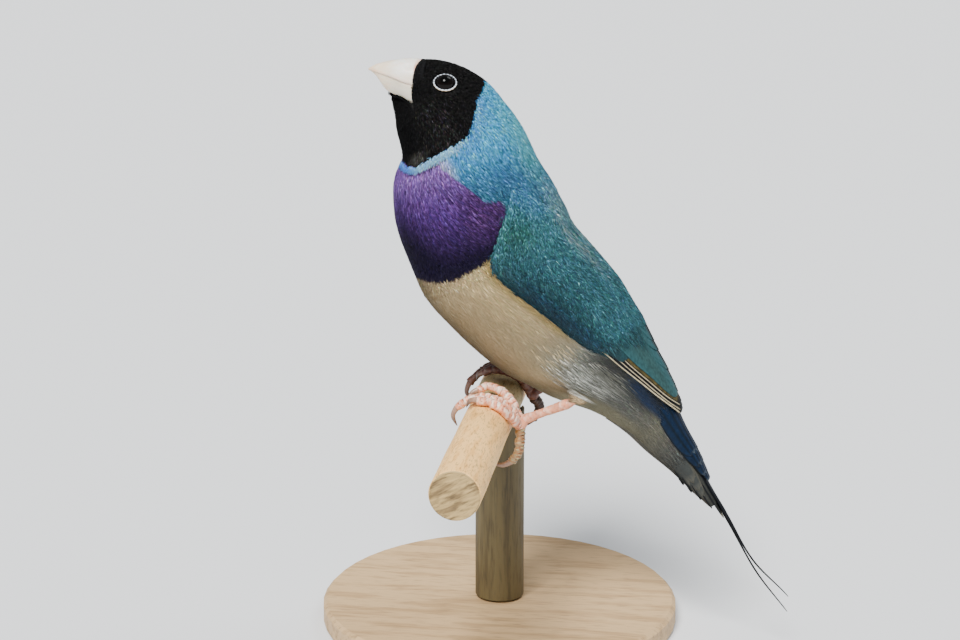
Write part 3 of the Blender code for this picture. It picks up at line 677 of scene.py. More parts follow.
# Bill: x, then heights over the perch's axis of the culmen, the mouth and the lower edge, and the
# half width, from the base to the tip
BILL = np.array((
    (-14.2, 72.0, 67.2, 62.0, 4.5),
    (-16.2, 72.35, 67.75, 62.95, 4.3),
    (-18.2, 72.25, 68.25, 64.35, 3.85),
    (-20.2, 71.95, 68.9, 65.05, 3.05),
    (-22.0, 71.55, 69.3, 66.1, 2.15),
    (-23.6, 71.1, 69.65, 68.35, 1.25),
    (-24.8, 70.55, 69.95, 69.5, 0.55),
    (-25.4, 70.15, 69.98, 69.75, 0.12),
))
NOSTRIL = (-16.9, 71.1)

# Where the feathers end round the bill: x against height over the perch's axis
FEATHER_EDGE = ((63.2, -15.2), (64.2, -15.6), (65.4, -15.95), (67.7, -15.95), (68.6, -15.75), (70.4, -15.7),
                (71.6, -15.5), (72.2, -15.3))
CHIN_EDGE = ((-21.3, 65.4), (-19.4, 65.2), (-17.5, 64.5), (-16.2, 63.45), (-15.2, 62.6))


def clear_of_bill(points):
    """Which points are behind the feathers' edge, so that none lies on the bill."""
    x = points[:, 0]
    height = points[:, 2] - PERCH_Z
    ahead = x < lookup(height, FEATHER_EDGE)
    return ~(ahead & (height > lookup(x, CHIN_EDGE)))


def bill_surface(sign, t, angle):
    """Points of the upper or lower half of the bill, t rows from its base, at an angle round it."""
    x, culmen, mouth, gonys, half = np.moveaxis(curve(BILL, t), -1, 0)
    if sign > 0:
        level = mouth - 0.08
        height = culmen - level
        half = half + 0.06
        narrow = 1.0
    else:
        level = mouth + 0.2
        height = level - gonys
        half = half - 0.06
        narrow = np.interp(x, (-22.0, -16.0), (0.85, 0.6))
    across = np.sign(np.cos(angle)) * np.abs(np.cos(angle)) ** narrow
    rise = np.maximum(np.sin(angle), 1e-6) ** (0.85 * narrow)
    if sign < 0:
        across = across * (1.0 - np.interp(x, (-19.5, -16.5), (0.27, 0.08)) * rise)
    y = BIRD_Y + half * across
    z = PERCH_Z + level + sign * np.maximum(height, 0.05) * rise
    return np.stack(np.broadcast_arrays(x, y, z), -1)


def mandible(sign, count=72, arc=45):
    """Half of the bill, over the mouth's line or under it, with its colours."""
    t = np.linspace(0.0, len(BILL) - 1.0, count)
    angle = np.linspace(0.0, math.pi, arc)
    rings = bill_surface(sign, t[:, None], angle[None, :])
    if sign > 0:
        for side in (1, -1):
            dx = (rings[..., 0] - NOSTRIL[0]) / 0.6
            dz = (rings[..., 2] - PERCH_Z - NOSTRIL[1]) / 0.42
            beside = (rings[..., 1] - BIRD_Y) * side > 0.5
            rings[..., 1] -= side * 0.5 * np.exp(-dx ** 2 - dz ** 2) * beside
    points, triangles, places = loft(rings)
    colours = np.ones(points.shape) * (BILL_IVORY if sign > 0 else BILL_LOWER)
    to_tip = step(points[:, 0], -21.5, -25.0)
    colours = blend(colours, BILL_TIP, 0.85 * to_tip)
    up = points[:, 2] - PERCH_Z
    base = lookup(up, FEATHER_EDGE)
    rim = step(points[:, 0], base - 0.28, base + 0.05) * bump(up, 70.8, 2.2)
    colours = blend(colours, BILL_RIM, 0.8 * rim)
    cream = np.maximum(step(points[:, 0], -18.5, -22.5), 0.6 * step(up, 70.6, 68.8) * (sign > 0))
    colours = blend(colours, BILL_CREAM, 0.85 * cream)
    line = np.interp(-points[:, 0], -BILL[:, 0], BILL[:, 2])
    colours = blend(colours, BILL_TIP, 0.4 * bump(up, line + 0.1, 0.5))
    return points, triangles, colours, places


BILL_IVORY = (0.96, 0.93, 0.87)
BILL_CREAM = (0.95, 0.80, 0.60)
BILL_LOWER = (0.80, 0.745, 0.61)
BILL_TIP = (0.86, 0.56, 0.40)
BILL_RIM = (0.62, 0.26, 0.14)


def make_bill():
    material, shader, add, link = new_nodes("bill_horn")
    colour = add("ShaderNodeAttribute", attribute_name="Plumage")
    streaks = add("ShaderNodeTexNoise", [("Vector", coordinates(add, (300.0, 1100.0, 1100.0)))],
                  Scale=1.0, Detail=3.0)
    tone = ramp(add, streaks.outputs["Fac"], ((0.3, (0.93, 0.88, 0.84)), (0.65, grey(1.0))))
    link("Base Color", multiply(add, colour.outputs["Color"], tone, 1.0))
    lift = add("ShaderNodeBump", [("Height", streaks.outputs["Fac"])], Strength=0.12, Distance=0.0001)
    link("Normal", lift.outputs["Normal"])
    shader.inputs["Roughness"].default_value = 0.34
    shader.inputs["Subsurface Weight"].default_value = 0.25
    shader.inputs["Subsurface Radius"].default_value = (0.0012, 0.0007, 0.0005)
    shader.inputs["Coat Weight"].default_value = 0.15
    for sign, word in ((1, "upper"), (-1, "lower")):
        points, triangles, colours, places = mandible(sign)
        half = new_piece("horn_" + word, points, triangles, material, "bill", colours, places)
        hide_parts("bill_" + word)


# Eyes and lids

def ball(centre, radius, segments=48, rings=32, stretch=(1.0, 1.0, 1.0)):
    """Sphere as a loft of rings round the Z axis."""
    turn = np.linspace(0.06, math.pi - 0.06, rings)
    around = np.arange(segments) * math.tau / segments
    x = np.sin(turn)[:, None] * np.cos(around)
    y = np.sin(turn)[:, None] * np.sin(around)
    z = np.cos(turn)[:, None] + 0.0 * around
    return np.stack((x, y, z), -1) * np.array(stretch) * radius + np.asarray(centre)


# Feathers over the bill's base: half of the bill, how many, angles round it in degrees, how many rows
# of the bill they cover from its side to its middle, and how far their tips stand off
RUFFS = (
    (1, 5200, (0.0, 180.0), (0.95, 0.82, 0.6, 0.3), 0.14),
    (-1, 3200, (50.0, 130.0), (0.0, 0.0, 2.8, 3.85), 0.6),
)


def make_ruff(material):
    """Small black feathers that reach forward over the bill's base and along its lower edge."""
    rng = np.random.default_rng(70)
    parts = []
    for sign, count, spread, rows, height in RUFFS:
        angle = np.radians(rng.uniform(*spread, count))
        steep = np.degrees(np.minimum(angle, math.pi - angle))
        t = rng.uniform(0.0, 1.0, count) * np.interp(steep, (0.0, 30.0, 60.0, 90.0), rows)
        on_bill = bill_surface(sign, t, angle)
        ahead = bill_surface(sign, t + 0.05, angle)
        around = bill_surface(sign, t, angle + 0.03) - on_bill
        backward = unit(on_bill - ahead)
        normal = unit(np.cross(around, backward))
        middle = np.stack((on_bill[:, 0], np.full(count, BIRD_Y), np.full(count, PERCH_Z + 68.5)), -1)
        normal = normal * np.sign(dot(normal, on_bill - middle))[:, None]
        heading = unit(backward + unit(around) * rng.normal(0.0, 0.25, count)[:, None])
        length = rng.uniform(0.5, 0.9, count) * (1.0 + height)
        starts = on_bill - normal * 0.1
        middles = on_bill + heading * (length * 0.5)[:, None] + normal * height * 0.7
        ends = on_bill + heading * length[:, None] + normal * height
        across = np.cross(normal, heading)
        colours = np.ones((count, 3)) * BLACK * 2.0
        homes = np.stack((angle / math.tau + (0.5 if sign < 0 else 0.0), 0.02 + t / 4.0), -1)
        width = rng.uniform(0.12, 0.19, count)
        parts.append(spindles(rng, starts, middles, ends, across, normal, width, homes, colours, 0.5))
    part = joined(parts)
    new_piece("ruff", *part[:2], material, "head_feather", *part[2:])


def make_eyes():
    material, shader, add, link = new_nodes("eye_gloss")
    colour = add("ShaderNodeAttribute", attribute_name="Plumage")
    fibres = add("ShaderNodeTexNoise", [("Vector", coordinates(add, (1.0, 1.0, 1.0)))],
                 Scale=2600.0, Detail=2.0)
    tone = ramp(add, fibres.outputs["Fac"], ((0.35, grey(0.6)), (0.65, grey(1.0))))
    link("Base Color", multiply(add, colour.outputs["Color"], tone, 1.0))
    shader.inputs["Roughness"].default_value = 0.06
    shader.inputs["Specular IOR Level"].default_value = 0.12
    ring_material, ring_shader, ring_add, ring_link = new_nodes("lid_skin")
    colour = ring_add("ShaderNodeAttribute", attribute_name="Plumage")
    ring_link("Base Color", colour.outputs["Color"])
    grain = ring_add("ShaderNodeTexNoise", [("Vector", coordinates(ring_add, (1.0, 1.0, 1.0)))],
                     Scale=4000.0, Detail=2.0)
    lift = ring_add("ShaderNodeBump", [("Height", grain.outputs["Fac"])], Strength=0.3, Distance=0.00006)
    ring_link("Normal", lift.outputs["Normal"])
    ring_shader.inputs["Roughness"].default_value = 0.5
    ring_shader.inputs["Subsurface Weight"].default_value = 0.1
    for side, word in ((1, "left"), (-1, "right")):
        centre, level, upright, normal = eye_frame(side)
        heart = centre + upright * EYE_RAISE + normal * EYE_PUSH
        points, triangles, places = loft(ball(heart, EYE_RADIUS))
        out = unit(points - heart)
        facing = np.degrees(np.arccos(np.clip(dot(out, normal), -1.0, 1.0)))
        colours = blend(np.ones(points.shape) * PUPIL, np.array(IRIS), step(facing, 26.0, 30.0))
        eye = new_piece("eyeball_" + word, points, triangles, material, "eye", colours, places)
        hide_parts("eye_" + word)
        points, triangles, colours, places = lid(side)
        new_piece("lids_" + word, points, triangles, ring_material, "head_feather", colours, places)


EYE_RADIUS = 1.9
EYE_RAISE = 0.1
EYE_PUSH = 0.68
EYE_SINK = 1.55
PUPIL = (0.001, 0.001, 0.001)
IRIS = (0.004, 0.0025, 0.002)
LID_PALE = (0.72, 0.78, 0.88)
LID_TAN = (0.42, 0.30, 0.16)
LID_BEADS = 20


def lid(side, count=132, sides=14):
    """Bare beaded rim of the lids: an oval ring, thicker and paler below."""
    centre, level, upright, normal = eye_frame(side)
    turn = np.arange(count) * math.tau / count
    below = step(-np.sin(turn), -0.5, 0.9)
    beads = np.abs(np.sin(turn * LID_BEADS / 2)) ** 0.7
    thick = (0.085 + 0.05 * below) * (0.6 + 0.55 * beads)
    out = level * np.cos(turn)[:, None] * LID_LENGTH + upright * np.sin(turn)[:, None] * LID_HEIGHT
    middle = centre + normal * (EYE_SINK - 0.12) + out
    outward = unit(out)
    roll = np.arange(sides) * math.tau / sides
    tube = (outward[:, None] * np.cos(roll)[None, :, None] * 1.25
            + normal[None, None] * np.sin(roll)[None, :, None])
    rings = middle[:, None] + tube * thick[:, None, None]
    points = rings.reshape(-1, 3)
    i, k = np.meshgrid(np.arange(count), np.arange(sides), indexing="ij")
    i = i.ravel()
    k = k.ravel()
    a = i * sides + k
    b = i * sides + (k + 1) % sides
    ahead = (i + 1) % count * sides
    c = ahead + (k + 1) % sides
    d = ahead + k
    triangles = np.concatenate((np.stack((a, b, c), -1), np.stack((a, c, d), -1)))
    u = i / count
    v = k / sides
    du = 1.0 / count
    dv = 1.0 / sides
    corners = [np.stack((u + p * du, v + q * dv), -1) for p, q in ((0, 0), (0, 1), (1, 1), (1, 0))]
    places = np.concatenate((np.stack([corners[j] for j in (0, 1, 2)], 1),
                             np.stack([corners[j] for j in (0, 2, 3)], 1)))
    if volume(points, triangles) < 0.0:
        triangles = triangles[:, ::-1]
        places = places[:, ::-1]
    outer = np.clip(np.cos(roll), 0.0, 1.0)[None, :] * below[:, None]
    inner = np.clip(-np.cos(roll), 0.0, 1.0)[None, :] * np.ones((count, 1))
    pale = np.ones((count, sides, 3)) * LID_PALE * (0.8 + 0.35 * below[:, None, None])
    pale = blend(pale, LID_TAN, 0.95 * step(outer, 0.1, 0.7))
    pale = blend(pale, BLACK, 0.7 * step(inner, 0.5, 0.95))
    gap = step(beads, 0.85, 0.35)[:, None] * np.ones((1, sides))
    pale = blend(pale, BLACK, 0.8 * gap * (1.0 - 0.75 * below[:, None]))
    return points, triangles, pale.reshape(-1, 3), places.reshape(-1, 2)


def make_skin(material):
    """One skin from the bill's base to the tail, inside the coat."""
    rows = 240
    sides = 112
    s, k = np.meshgrid(np.linspace(CHIN_START, LAST_STATION, rows), np.arange(sides), indexing="ij")
    phi = 360.0 * k / sides - 180.0
    rings = body_surface(s, phi, -coat_depth(s))
    for side in (1, -1):
        centre, level, upright, normal = eye_frame(side)
        offset = rings - centre
        reach = (dot(offset, level) / (LID_LENGTH - 0.3)) ** 2 + (dot(offset, upright) / (LID_HEIGHT - 0.3)) ** 2
        inside = (reach < 1.0) & (dot(offset, normal) > 0.0)
        rings = rings - normal * (inside * (1.0 - reach) * 1.6)[..., None]
    under_bill = ~clear_of_bill(rings.reshape(-1, 3)).reshape(s.shape)
    rings[..., 1] += under_bill * 0.3 * (BIRD_Y - rings[..., 1])
    points, triangles, places = loft(rings)
    colours = np.concatenate((marks(s, phi).reshape(-1, 3) * 0.55, np.array((BLACK, INK))))
    skin = new_piece("skin", points, triangles, material, "belly_feather", colours, places)
    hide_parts("head", "neck", "breast", "torso", "rump", "thigh_left", "thigh_right")
    return skin


def head_lie(s, phi):
    return np.zeros_like(s), 14.0 + 0.0 * s


def head_shape(s, phi):
    length = np.interp(s, (0.0, 1.0, 3.0, 5.0), (0.6, 0.9, 1.3, 1.6))
    width = np.interp(s, (0.0, 3.0, 5.0), (0.14, 0.19, 0.24))
    p = np.abs(phi)
    rough = 0.45 + 0.6 * bump(p, 92.0, 42.0) * step(s, 1.2, 2.4)
    return length, width, 0.02 + 0.0 * s, rough


def collar_lie(s, phi):
    return np.zeros_like(s), 26.0 + 0.0 * s


def collar_shape(s, phi):
    return 1.1 + 0.0 * s, 0.18 + 0.0 * s, 0.16 + 0.0 * s, 0.34


def collar_colour(s, phi):
    """Blue of the line under the mask, paler towards the nape."""
    p = np.abs(phi)
    return blend(np.ones(np.shape(s) + (3,)) * LINE_BLUE, LINE_PALE, 0.8 * step(p, 140.0, 118.0))


def breast_lie(s, phi):
    p = np.abs(phi)
    turn = -34.0 * bump(p, 88.0, 72.0) * step(s, 4.2, 6.0) - 6.0 * step(p, 90.0, 50.0)
    return turn, 3.5 + 5.0 * step(p, 90.0, 40.0)


def breast_shape(s, phi):
    p = np.abs(phi)
    end = lookup(p, BREAST_END)
    length = np.interp(s, (4.0, 5.5, 7.0, 8.0), (1.7, 2.3, 2.9, 3.0))
    length = length * (1.0 - 0.45 * step(s, end - 1.4, end - 0.5))
    width = np.interp(s, (3.5, 5.0, 8.0), (0.18, 0.22, 0.25))
    return length, width, 0.05 + 0.0 * s, np.interp(s, (4.0, 7.0, 8.2), (0.38, 0.48, 0.3))


def belly_lie(s, phi):
    p = np.abs(phi)
    edge = lookup(s, WING_LOW_EDGE)
    turn = -6.0 * bump(p, 110.0, 50.0) - 9.0 * step(p, edge + 24.0, edge + 6.0)
    return turn, 3.0 + 3.0 * step(s, 12.0, 14.0)


def belly_shape(s, phi):
    length = np.interp(s, (8.0, 9.2, 14.0, 16.5), (2.2, 4.8, 4.4, 3.4))
    p = np.abs(phi)
    edge = lookup(s, WING_LOW_EDGE)
    loose = step(s, 11.0, 12.6) * step(p, 116.0, 98.0) * step(s, 16.0, 15.0)
    straw = step(p, edge + 36.0, edge + 14.0) * step(s, 11.6, 10.6)
    return length, 0.26 + 0.0 * s, 0.02 + 0.06 * loose, 0.035 + 0.33 * loose + 0.1 * straw


def back_lie(s, phi):
    return np.zeros_like(s), 18.0 + 0.0 * s


def back_shape(s, phi):
    silvery = bump(s, 8.5, 3.0)
    return 2.2 + 0.8 * silvery, 0.26 + 0.0 * s, 0.06 + 0.0 * s, 0.6 + 0.4 * silvery


def rump_shape(s, phi):
    length = np.interp(s, (14.5, 17.0, 19.0), (3.6, 3.4, 2.6))
    return length, 0.28 + 0.0 * s, 0.04 + 0.0 * s, 0.3 * step(np.abs(phi), 110.0, 90.0) + 0.03


def wing_lie(s, phi):
    p = np.abs(phi)
    low = lookup(s, WING_LOW_EDGE)
    border = step(p, low - 9.0, low - 3.0) * step(s, 8.3, 8.9)
    turn = 14.0 * bump(p, 60.0, 30.0) * (1.0 - border) - 15.0 * border
    return turn, (24.0 - 12.0 * step(s, 10.0, 12.8)) * (1.0 - 0.75 * border)


def wing_shape(s, phi):
    p = np.abs(phi)
    low = lookup(s, WING_LOW_EDGE)
    border = step(p, low - 9.0, low - 3.0) * step(s, 8.3, 8.9)
    length = np.interp(s, (6.4, 9.0, 12.5), (1.6, 1.9, 2.6)) * (1.0 + 0.5 * border)
    smooth = step(s, 11.6, 13.0)
    silvery = bump(s, 8.8, 3.0) * step(p, 36.0, 16.0)
    length = length * (1.0 + 0.6 * silvery)
    tip = 0.1 - 0.06 * np.maximum(border, smooth)
    return length, 0.22 + 0.0 * s, tip, 0.62 - 0.15 * border - 0.3 * smooth + 0.35 * silvery


def front_of_mask(s, phi):
    p = np.abs(phi)
    return ((s < lookup(p, MASK_EDGE) + 0.06) & ((s > -0.1) | (p > 145.0))).astype(float)


def in_collar(s, phi):
    p = np.abs(phi)
    past = s - lookup(p, MASK_EDGE)
    return (past > -0.22) * (past < COLLAR_WIDTH - 0.22) * step(p, 70.0, 100.0)


def behind_mask(s, phi):
    p = np.abs(phi)
    return (s > lookup(p, MASK_EDGE) - 0.12 + 0.24 * step(p, 90.0, 100.0)).astype(float)


def everywhere(s, phi):
    return np.ones_like(s)


def on_wing(s, phi):
    p = np.abs(phi)
    inside = (p > lookup(s, WING_TOP_EDGE)) & (p < lookup(s, WING_LOW_EDGE) + 1.0)
    rear = np.interp(p, (0.0, 12.0, 24.0, 40.0, 60.0, 90.0), (13.6, 13.4, 13.1, 12.6, 12.25, 12.1))
    return inside * step(s, rear + 0.5, rear - 1.0)


def make_coat(materials):
    """All of the body's small feathers, in pieces."""
    black, soft, silk = materials
    coat("coat_head", "head_feather", black, 1, 30000, body_surface, (CHIN_START, 5.0), (-180.0, 180.0),
         front_of_mask, head_lie, marks, head_shape)
    coat("coat_collar", "neck_feather", silk, 10, 4200, body_surface, (3.8, 5.3), (-180.0, 180.0),
         in_collar, collar_lie, collar_colour, collar_shape, ridge=0.4)
    for seed, word, half in ((2, "left", (0.0, 180.0)), (3, "right", (-180.0, 0.0))):
        coat("coat_breast_" + word, "breast_feather", soft, seed, 33000, body_surface, (3.0, 8.75), half,
             behind_mask, breast_lie, marks, breast_shape)
    for seed, word, half in ((4, "left", (58.0, 180.0)), (5, "right", (-180.0, -58.0))):
        coat("coat_belly_" + word, "belly_feather", silk, seed, 25000, body_surface, (8.1, 16.6), half,
             everywhere, belly_lie, marks, belly_shape, ridge=0.2, uneven=0.03)
    coat("coat_back", "neck_feather", soft, 6, 15000, body_surface, (6.0, 14.8), (-60.0, 60.0),
         everywhere, back_lie, marks, back_shape)
    coat("coat_rump", "rump_feather", silk, 7, 12000, body_surface, (14.2, 17.4), (-180.0, 180.0),
         everywhere, belly_lie, marks, rump_shape, ridge=0.3, uneven=0.03)
    for seed, word, half in ((8, "left", (3.0, 88.0)), (9, "right", (-88.0, -3.0))):
        coat("coat_wing_" + word, "wing_feather", soft, seed, 33000, wing_surface, (6.3, 13.9), half,
             on_wing, wing_lie, wing_marks, wing_shape)


def make_wisps(material):
    """Long loose feathers of the flanks, light and dark, that sweep back over the thighs."""
    for side, word in ((1, "left"), (-1, "right")):
        rng = np.random.default_rng(30 + side)
        count = 1000
        s = rng.triangular(11.2, 12.9, 14.2, count)
        p = rng.triangular(70.0, 92.0, 114.0, count) - 3.0 * (s - 12.0)
        phi = side * p
        length = rng.uniform(3.5, 7.0, count)
        tone = rng.uniform(0.0, 1.0, count) ** 1.4 * (0.35 + 0.65 * step(p, 78.0, 92.0))
        colours = blend(np.ones((count, 3)) * WISP_DARK, WISP_WHITE, tone)
        colours = blend(colours, CREAM_LIGHT, 0.9 * step(s, 12.2, 11.2))
        along, around, normal = surface_frame(body_surface, s, phi)
        turn = np.radians(rng.normal(1.0, 4.0, count)) * side
        ds, dphi, direction = heading_steps(along, around, turn)
        lift = rng.uniform(-0.05, 0.3, count)
        starts, middles, ends = (
            body_surface(s + ds * length * t, phi + dphi * length * (t + bow), -0.5 + (lift + 0.5) * rise)
            for t, rise, bow in ((0.0, 0.0, 0.0), (0.5, 0.7, 0.08), (1.0, 1.0, 0.0))
        )
        across = np.cross(normal, direction)
        homes = np.stack((phi / 360.0 + 0.5, (s + 0.5) / 20.5), -1)
        parts = spindles(rng, starts, middles, ends, across, normal, rng.uniform(0.1, 0.22, count), homes,
                         colours, 0.15, 0.4)
        new_piece("wisps_" + word, *parts[:2], material, "belly_feather", *parts[2:])


WISP_WHITE = (0.82, 0.83, 0.75)
WISP_DARK = (0.13, 0.13, 0.10)
CUFF_WHITE = (0.86, 0.82, 0.72)
CUFF_BROWN = (0.25, 0.16, 0.08)

# Feathers that end the thighs: where they start and end as leg places, how far they spread at either
# end, how many, and how wide; first the brown cuff, then the pale point behind it
CUFFS = (
    ((16.7, 11.4, 6.6), (20.4, 11.3, 5.5), 1.1, 0.3, 900, 0.24),
    ((16.4, 11.6, 8.1), (22.5, 11.5, 5.2), 0.5, 0.1, 110, 0.12),
)


def make_cuffs(material):
    """Loose feathers that end the thighs over the ankles, with a pale point behind."""
    for side, word in ((1, "left"), (-1, "right")):
        rng = np.random.default_rng(50 + side)
        parts = []
        for k, (first, last, wide, narrow, count, width) in enumerate(CUFFS):
            start = leg_point(side, *first)
            end = leg_point(side, *last)
            axis = unit(end - start)
            upright = unit(np.cross((0.0, -1.0, 0.0), axis))
            level = np.cross(axis, upright)
            turn = rng.uniform(0.0, math.tau, count)
            reach = np.sqrt(rng.uniform(0.0, 1.0, count)) if k else rng.uniform(0.75, 1.0, count)
            spoke = level * np.cos(turn)[:, None] + upright * np.sin(turn)[:, None]
            begin = rng.uniform(-0.1, 0.45, count)
            finish = np.minimum(begin + rng.uniform(0.4, 0.6, count), 1.0)
            points = []
            for share, bow in ((begin, 0.0), ((begin + finish) / 2, 0.12), (finish, 0.0)):
                radius = (wide + (narrow - wide) * share) * reach + bow
                points.append(start + (end - start) * share[:, None] + spoke * radius[:, None])
            across = unit(np.cross(spoke, axis))
            brown = blend(np.ones((count, 3)) * CUFF_BROWN, CREAM, rng.uniform(0.0, 0.7, count))
            pale = blend(np.ones((count, 3)) * CUFF_WHITE, FLANK_GREY, rng.uniform(0.0, 0.8, count))
            homes = np.stack((turn / math.tau, (begin + k) / 2.0 + 0.1), -1)
            parts.append(spindles(rng, *points, across, spoke, rng.uniform(0.5, 1.0, count) * width, homes,
                                  pale if k else brown, 0.25, 0.5))
        part = joined(parts)
        new_piece("cuff_" + word, *part[:2], material, "belly_feather", *part[2:])


def make_wing_skin(word, side, material):
    """Folded arm under the wing's coverts, closed over its underside."""
    rows = 70
    columns = 36
    s, u = np.meshgrid(np.linspace(WING_FRONT, WING_REAR, rows), np.linspace(0.0, 1.0, columns),
                       indexing="ij")
    high = lookup(s, WING_TOP_EDGE)
    low = lookup(s, WING_LOW_EDGE)
    phi = side * (high + (low - high) * u)
    top = wing_surface(s, phi, -0.35)
    under = body_point(s, phi, -0.4)
    rings = np.concatenate((top, under[:, ::-1]), 1)
    points, triangles, places = loft(rings)
    colours = wing_marks(s, phi) * 0.5
    colours = np.concatenate((colours, colours[:, ::-1]), 1).reshape(-1, 3)
    colours = np.concatenate((colours, np.array((TEAL_DARK, TEAL_DARK)) * 0.5))
    wing = new_piece("wing_skin_" + word, points, triangles, material, "wing_feather", colours, places)
    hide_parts("wing_" + word)


# Flight feathers and coverts as vanes

def smooth_rows(points, count):
    """Even steps along a smooth curve through rows of points."""
    points = np.asarray(points, float)
    fine = curve(points, np.linspace(0.0, len(points) - 1.0, 40 * len(points)))
    steps = np.linalg.norm(np.diff(fine, axis=0), axis=1)
    distance = np.concatenate(((0.0,), np.cumsum(steps)))
    wanted = np.linspace(0.0, distance[-1], count)
    return np.stack([np.interp(wanted, distance, fine[:, k]) for k in range(fine.shape[1])], -1)


def outline(t, root=0.6, tip_start=0.72, tip=0.04):
    """Share of a vane's half width from root to tip: narrow root, round tip."""
    fall = np.clip((t - tip_start) / (1.0 - tip_start), 0.0, 1.0)
    share = (root + (1.0 - root) * step(t, 0.0, 0.3)) * np.sqrt(1.0 - fall ** 2.2)
    return np.maximum(share, tip)


def plate(top, under, colours, strip):
    """Closed thin solid between two grids of points, with its strip (u, v, width, height) of the map."""
    rows, columns = top.shape[:2]
    size = rows * columns
    points = np.concatenate((top.reshape(-1, 3), under.reshape(-1, 3)))
    i, j = np.meshgrid(np.arange(rows - 1), np.arange(columns - 1), indexing="ij")
    a = (i * columns + j).ravel()
    quads = np.stack((a, a + 1, a + columns + 1, a + columns), -1)
    face = np.concatenate((quads[:, [0, 1, 2]], quads[:, [0, 2, 3]]))
    rim = [j for j in range(columns - 1)]
    rim += [i * columns + columns - 1 for i in range(rows - 1)]
    rim += [(rows - 1) * columns + j for j in range(columns - 1, 0, -1)]
    rim += [i * columns for i in range(rows - 1, 0, -1)]
    a = np.array(rim)
    b = np.roll(a, -1)
    edge = np.concatenate((np.stack((b, a, a + size), -1), np.stack((b, a + size, b + size), -1)))
    triangles = np.concatenate((face, face[:, ::-1] + size, edge))
    i, j = np.meshgrid(np.linspace(0.0, 1.0, rows), np.linspace(0.0, 1.0, columns), indexing="ij")
    u, v, width, height = strip
    spots = np.concatenate((
        np.stack((u + width * 0.5 * (1.0 - j), v + height * i), -1).reshape(-1, 2),
        np.stack((u + width * (0.5 + 0.5 * j), v + height * i), -1).reshape(-1, 2),
    ))
    picks = triangles.copy()
    picks[len(face) * 2:] %= size
    places = spots[picks]
    if volume(points, triangles) < 0.0:
        triangles = triangles[:, ::-1]
        places = places[:, ::-1]
    return points, triangles, np.concatenate((colours.reshape(-1, 3),) * 2), places.reshape(-1, 2)


def map_strips(count):
    """Strips of the bake map, one for each of a piece's vanes."""
    across = math.ceil(math.sqrt(count * 2))
    down = math.ceil(count / across)
    margin = 0.1
    return [((k % across + margin) / across, (k // across + margin) / down,
             (1.0 - 2 * margin) / across, (1.0 - 2 * margin) / down) for k in range(count)]


def mirrored(part):
    """The same part on the bird's other side."""
    points, triangles, colours, places = part
    points = points.copy()
    points[:, 1] = 2 * BIRD_Y - points[:, 1]
    places = places.reshape(-1, 3, 2)[:, ::-1].reshape(-1, 2)
    return points, triangles[:, ::-1], colours, places


VANE_THICKNESS = 0.16
VANE_ROWS = 44
VANE_COLUMNS = np.array((0.0, 0.03, 0.05, 0.07, 0.14, 0.24, 0.36, 0.5, 0.66, 0.84, 1.0))
BACK_CLEARANCE = 1.2


def laid_vane(edge, width, lifts, paint, strip, centred=False, rows=VANE_ROWS, columns=VANE_COLUMNS,
              camber=0.12, shape=outline):
    """Feather that lies on the body's left side, from (station, angle) places of its lower edge.

    Lifts are its heights over the body as (root, tip) of the lower edge, then of the upper edge. Its
    colours come from paint(q, t, s, phi), with q across from the lower edge and t along from the root.
    A centred vane has its middle on the places instead.
    """
    path = smooth_rows(edge, rows)
    s, phi = path[:, 0], path[:, 1]
    along, around, normal = surface_frame(body_point, s, phi)
    slope = np.gradient(path, axis=0)
    course = along * slope[:, :1] + around * slope[:, 1:]
    forward = unit(along)
    sideways = unit(around - dot(around, forward)[:, None] * forward)
    turn = np.arctan2(dot(course, sideways), dot(course, forward)) - math.pi / 2
    ds, dphi, _ = heading_steps(along, around, turn)
    t = np.linspace(0.0, 1.0, rows)[:, None]
    q = columns[None, :]
    half = width / 2 * shape(t)
    middle = 0.0 if centred else width / 2
    reach = middle + (2 * q - 1) * half
    s_at = s[:, None] + ds[:, None] * reach
    phi_at = np.maximum(phi[:, None] + dphi[:, None] * reach, BACK_CLEARANCE if not centred else -360.0)
    low = lifts[0][0] + (lifts[0][1] - lifts[0][0]) * t
    high = lifts[1][0] + (lifts[1][1] - lifts[1][0]) * t
    lift = low + (high - low) * q + camber * 4 * q * (1 - q)
    top = body_point(s_at, phi_at, lift + VANE_THICKNESS / 2)
    under = body_point(s_at, phi_at, lift - VANE_THICKNESS / 2)
    colours = paint(q + 0.0 * t, t + 0.0 * q, s_at, phi_at)
    return plate(top, under, colours, strip)


# Lower edges of a wing's feathers as (station, angle) places: primaries from the lowest, then the
# secondaries and tertials of the panel
PRIMARIES = (
    ((11.6, 70.5), (12.3, 67.5), (12.98, 64.0), (13.6, 62.0), (14.12, 60.0), (14.75, 57.0), (15.33, 51.0),
     (15.88, 39.0), (16.5, 19.0)),
    ((11.8, 65.8), (12.6, 62.0), (13.2, 59.4), (14.1, 56.4), (14.75, 53.2), (15.33, 47.0), (15.9, 34.5),
     (16.4, 15.0)),
    ((11.9, 62.0), (12.6, 58.4), (13.2, 55.8), (14.1, 52.8), (14.75, 48.8), (15.33, 42.2), (15.8, 31.0),
     (16.25, 12.0)),
)
SECONDARIES = (
    ((11.6, 58.0), (12.4, 54.0), (13.2, 50.2), (14.1, 46.6), (14.75, 42.6), (15.33, 36.0), (15.75, 26.0),
     (15.98, 15.0)),
    ((11.5, 52.0), (12.6, 45.5), (13.6, 40.0), (14.5, 33.0), (15.3, 23.0), (15.75, 13.0)),
    ((11.4, 43.0), (12.5, 36.5), (13.5, 30.0), (14.4, 22.0), (15.2, 12.0)),
    ((11.6, 33.0), (12.5, 27.5), (13.4, 21.5), (14.5, 11.0)),
    ((11.8, 24.0), (12.6, 19.0), (13.3, 14.0), (14.1, 8.0)),
)
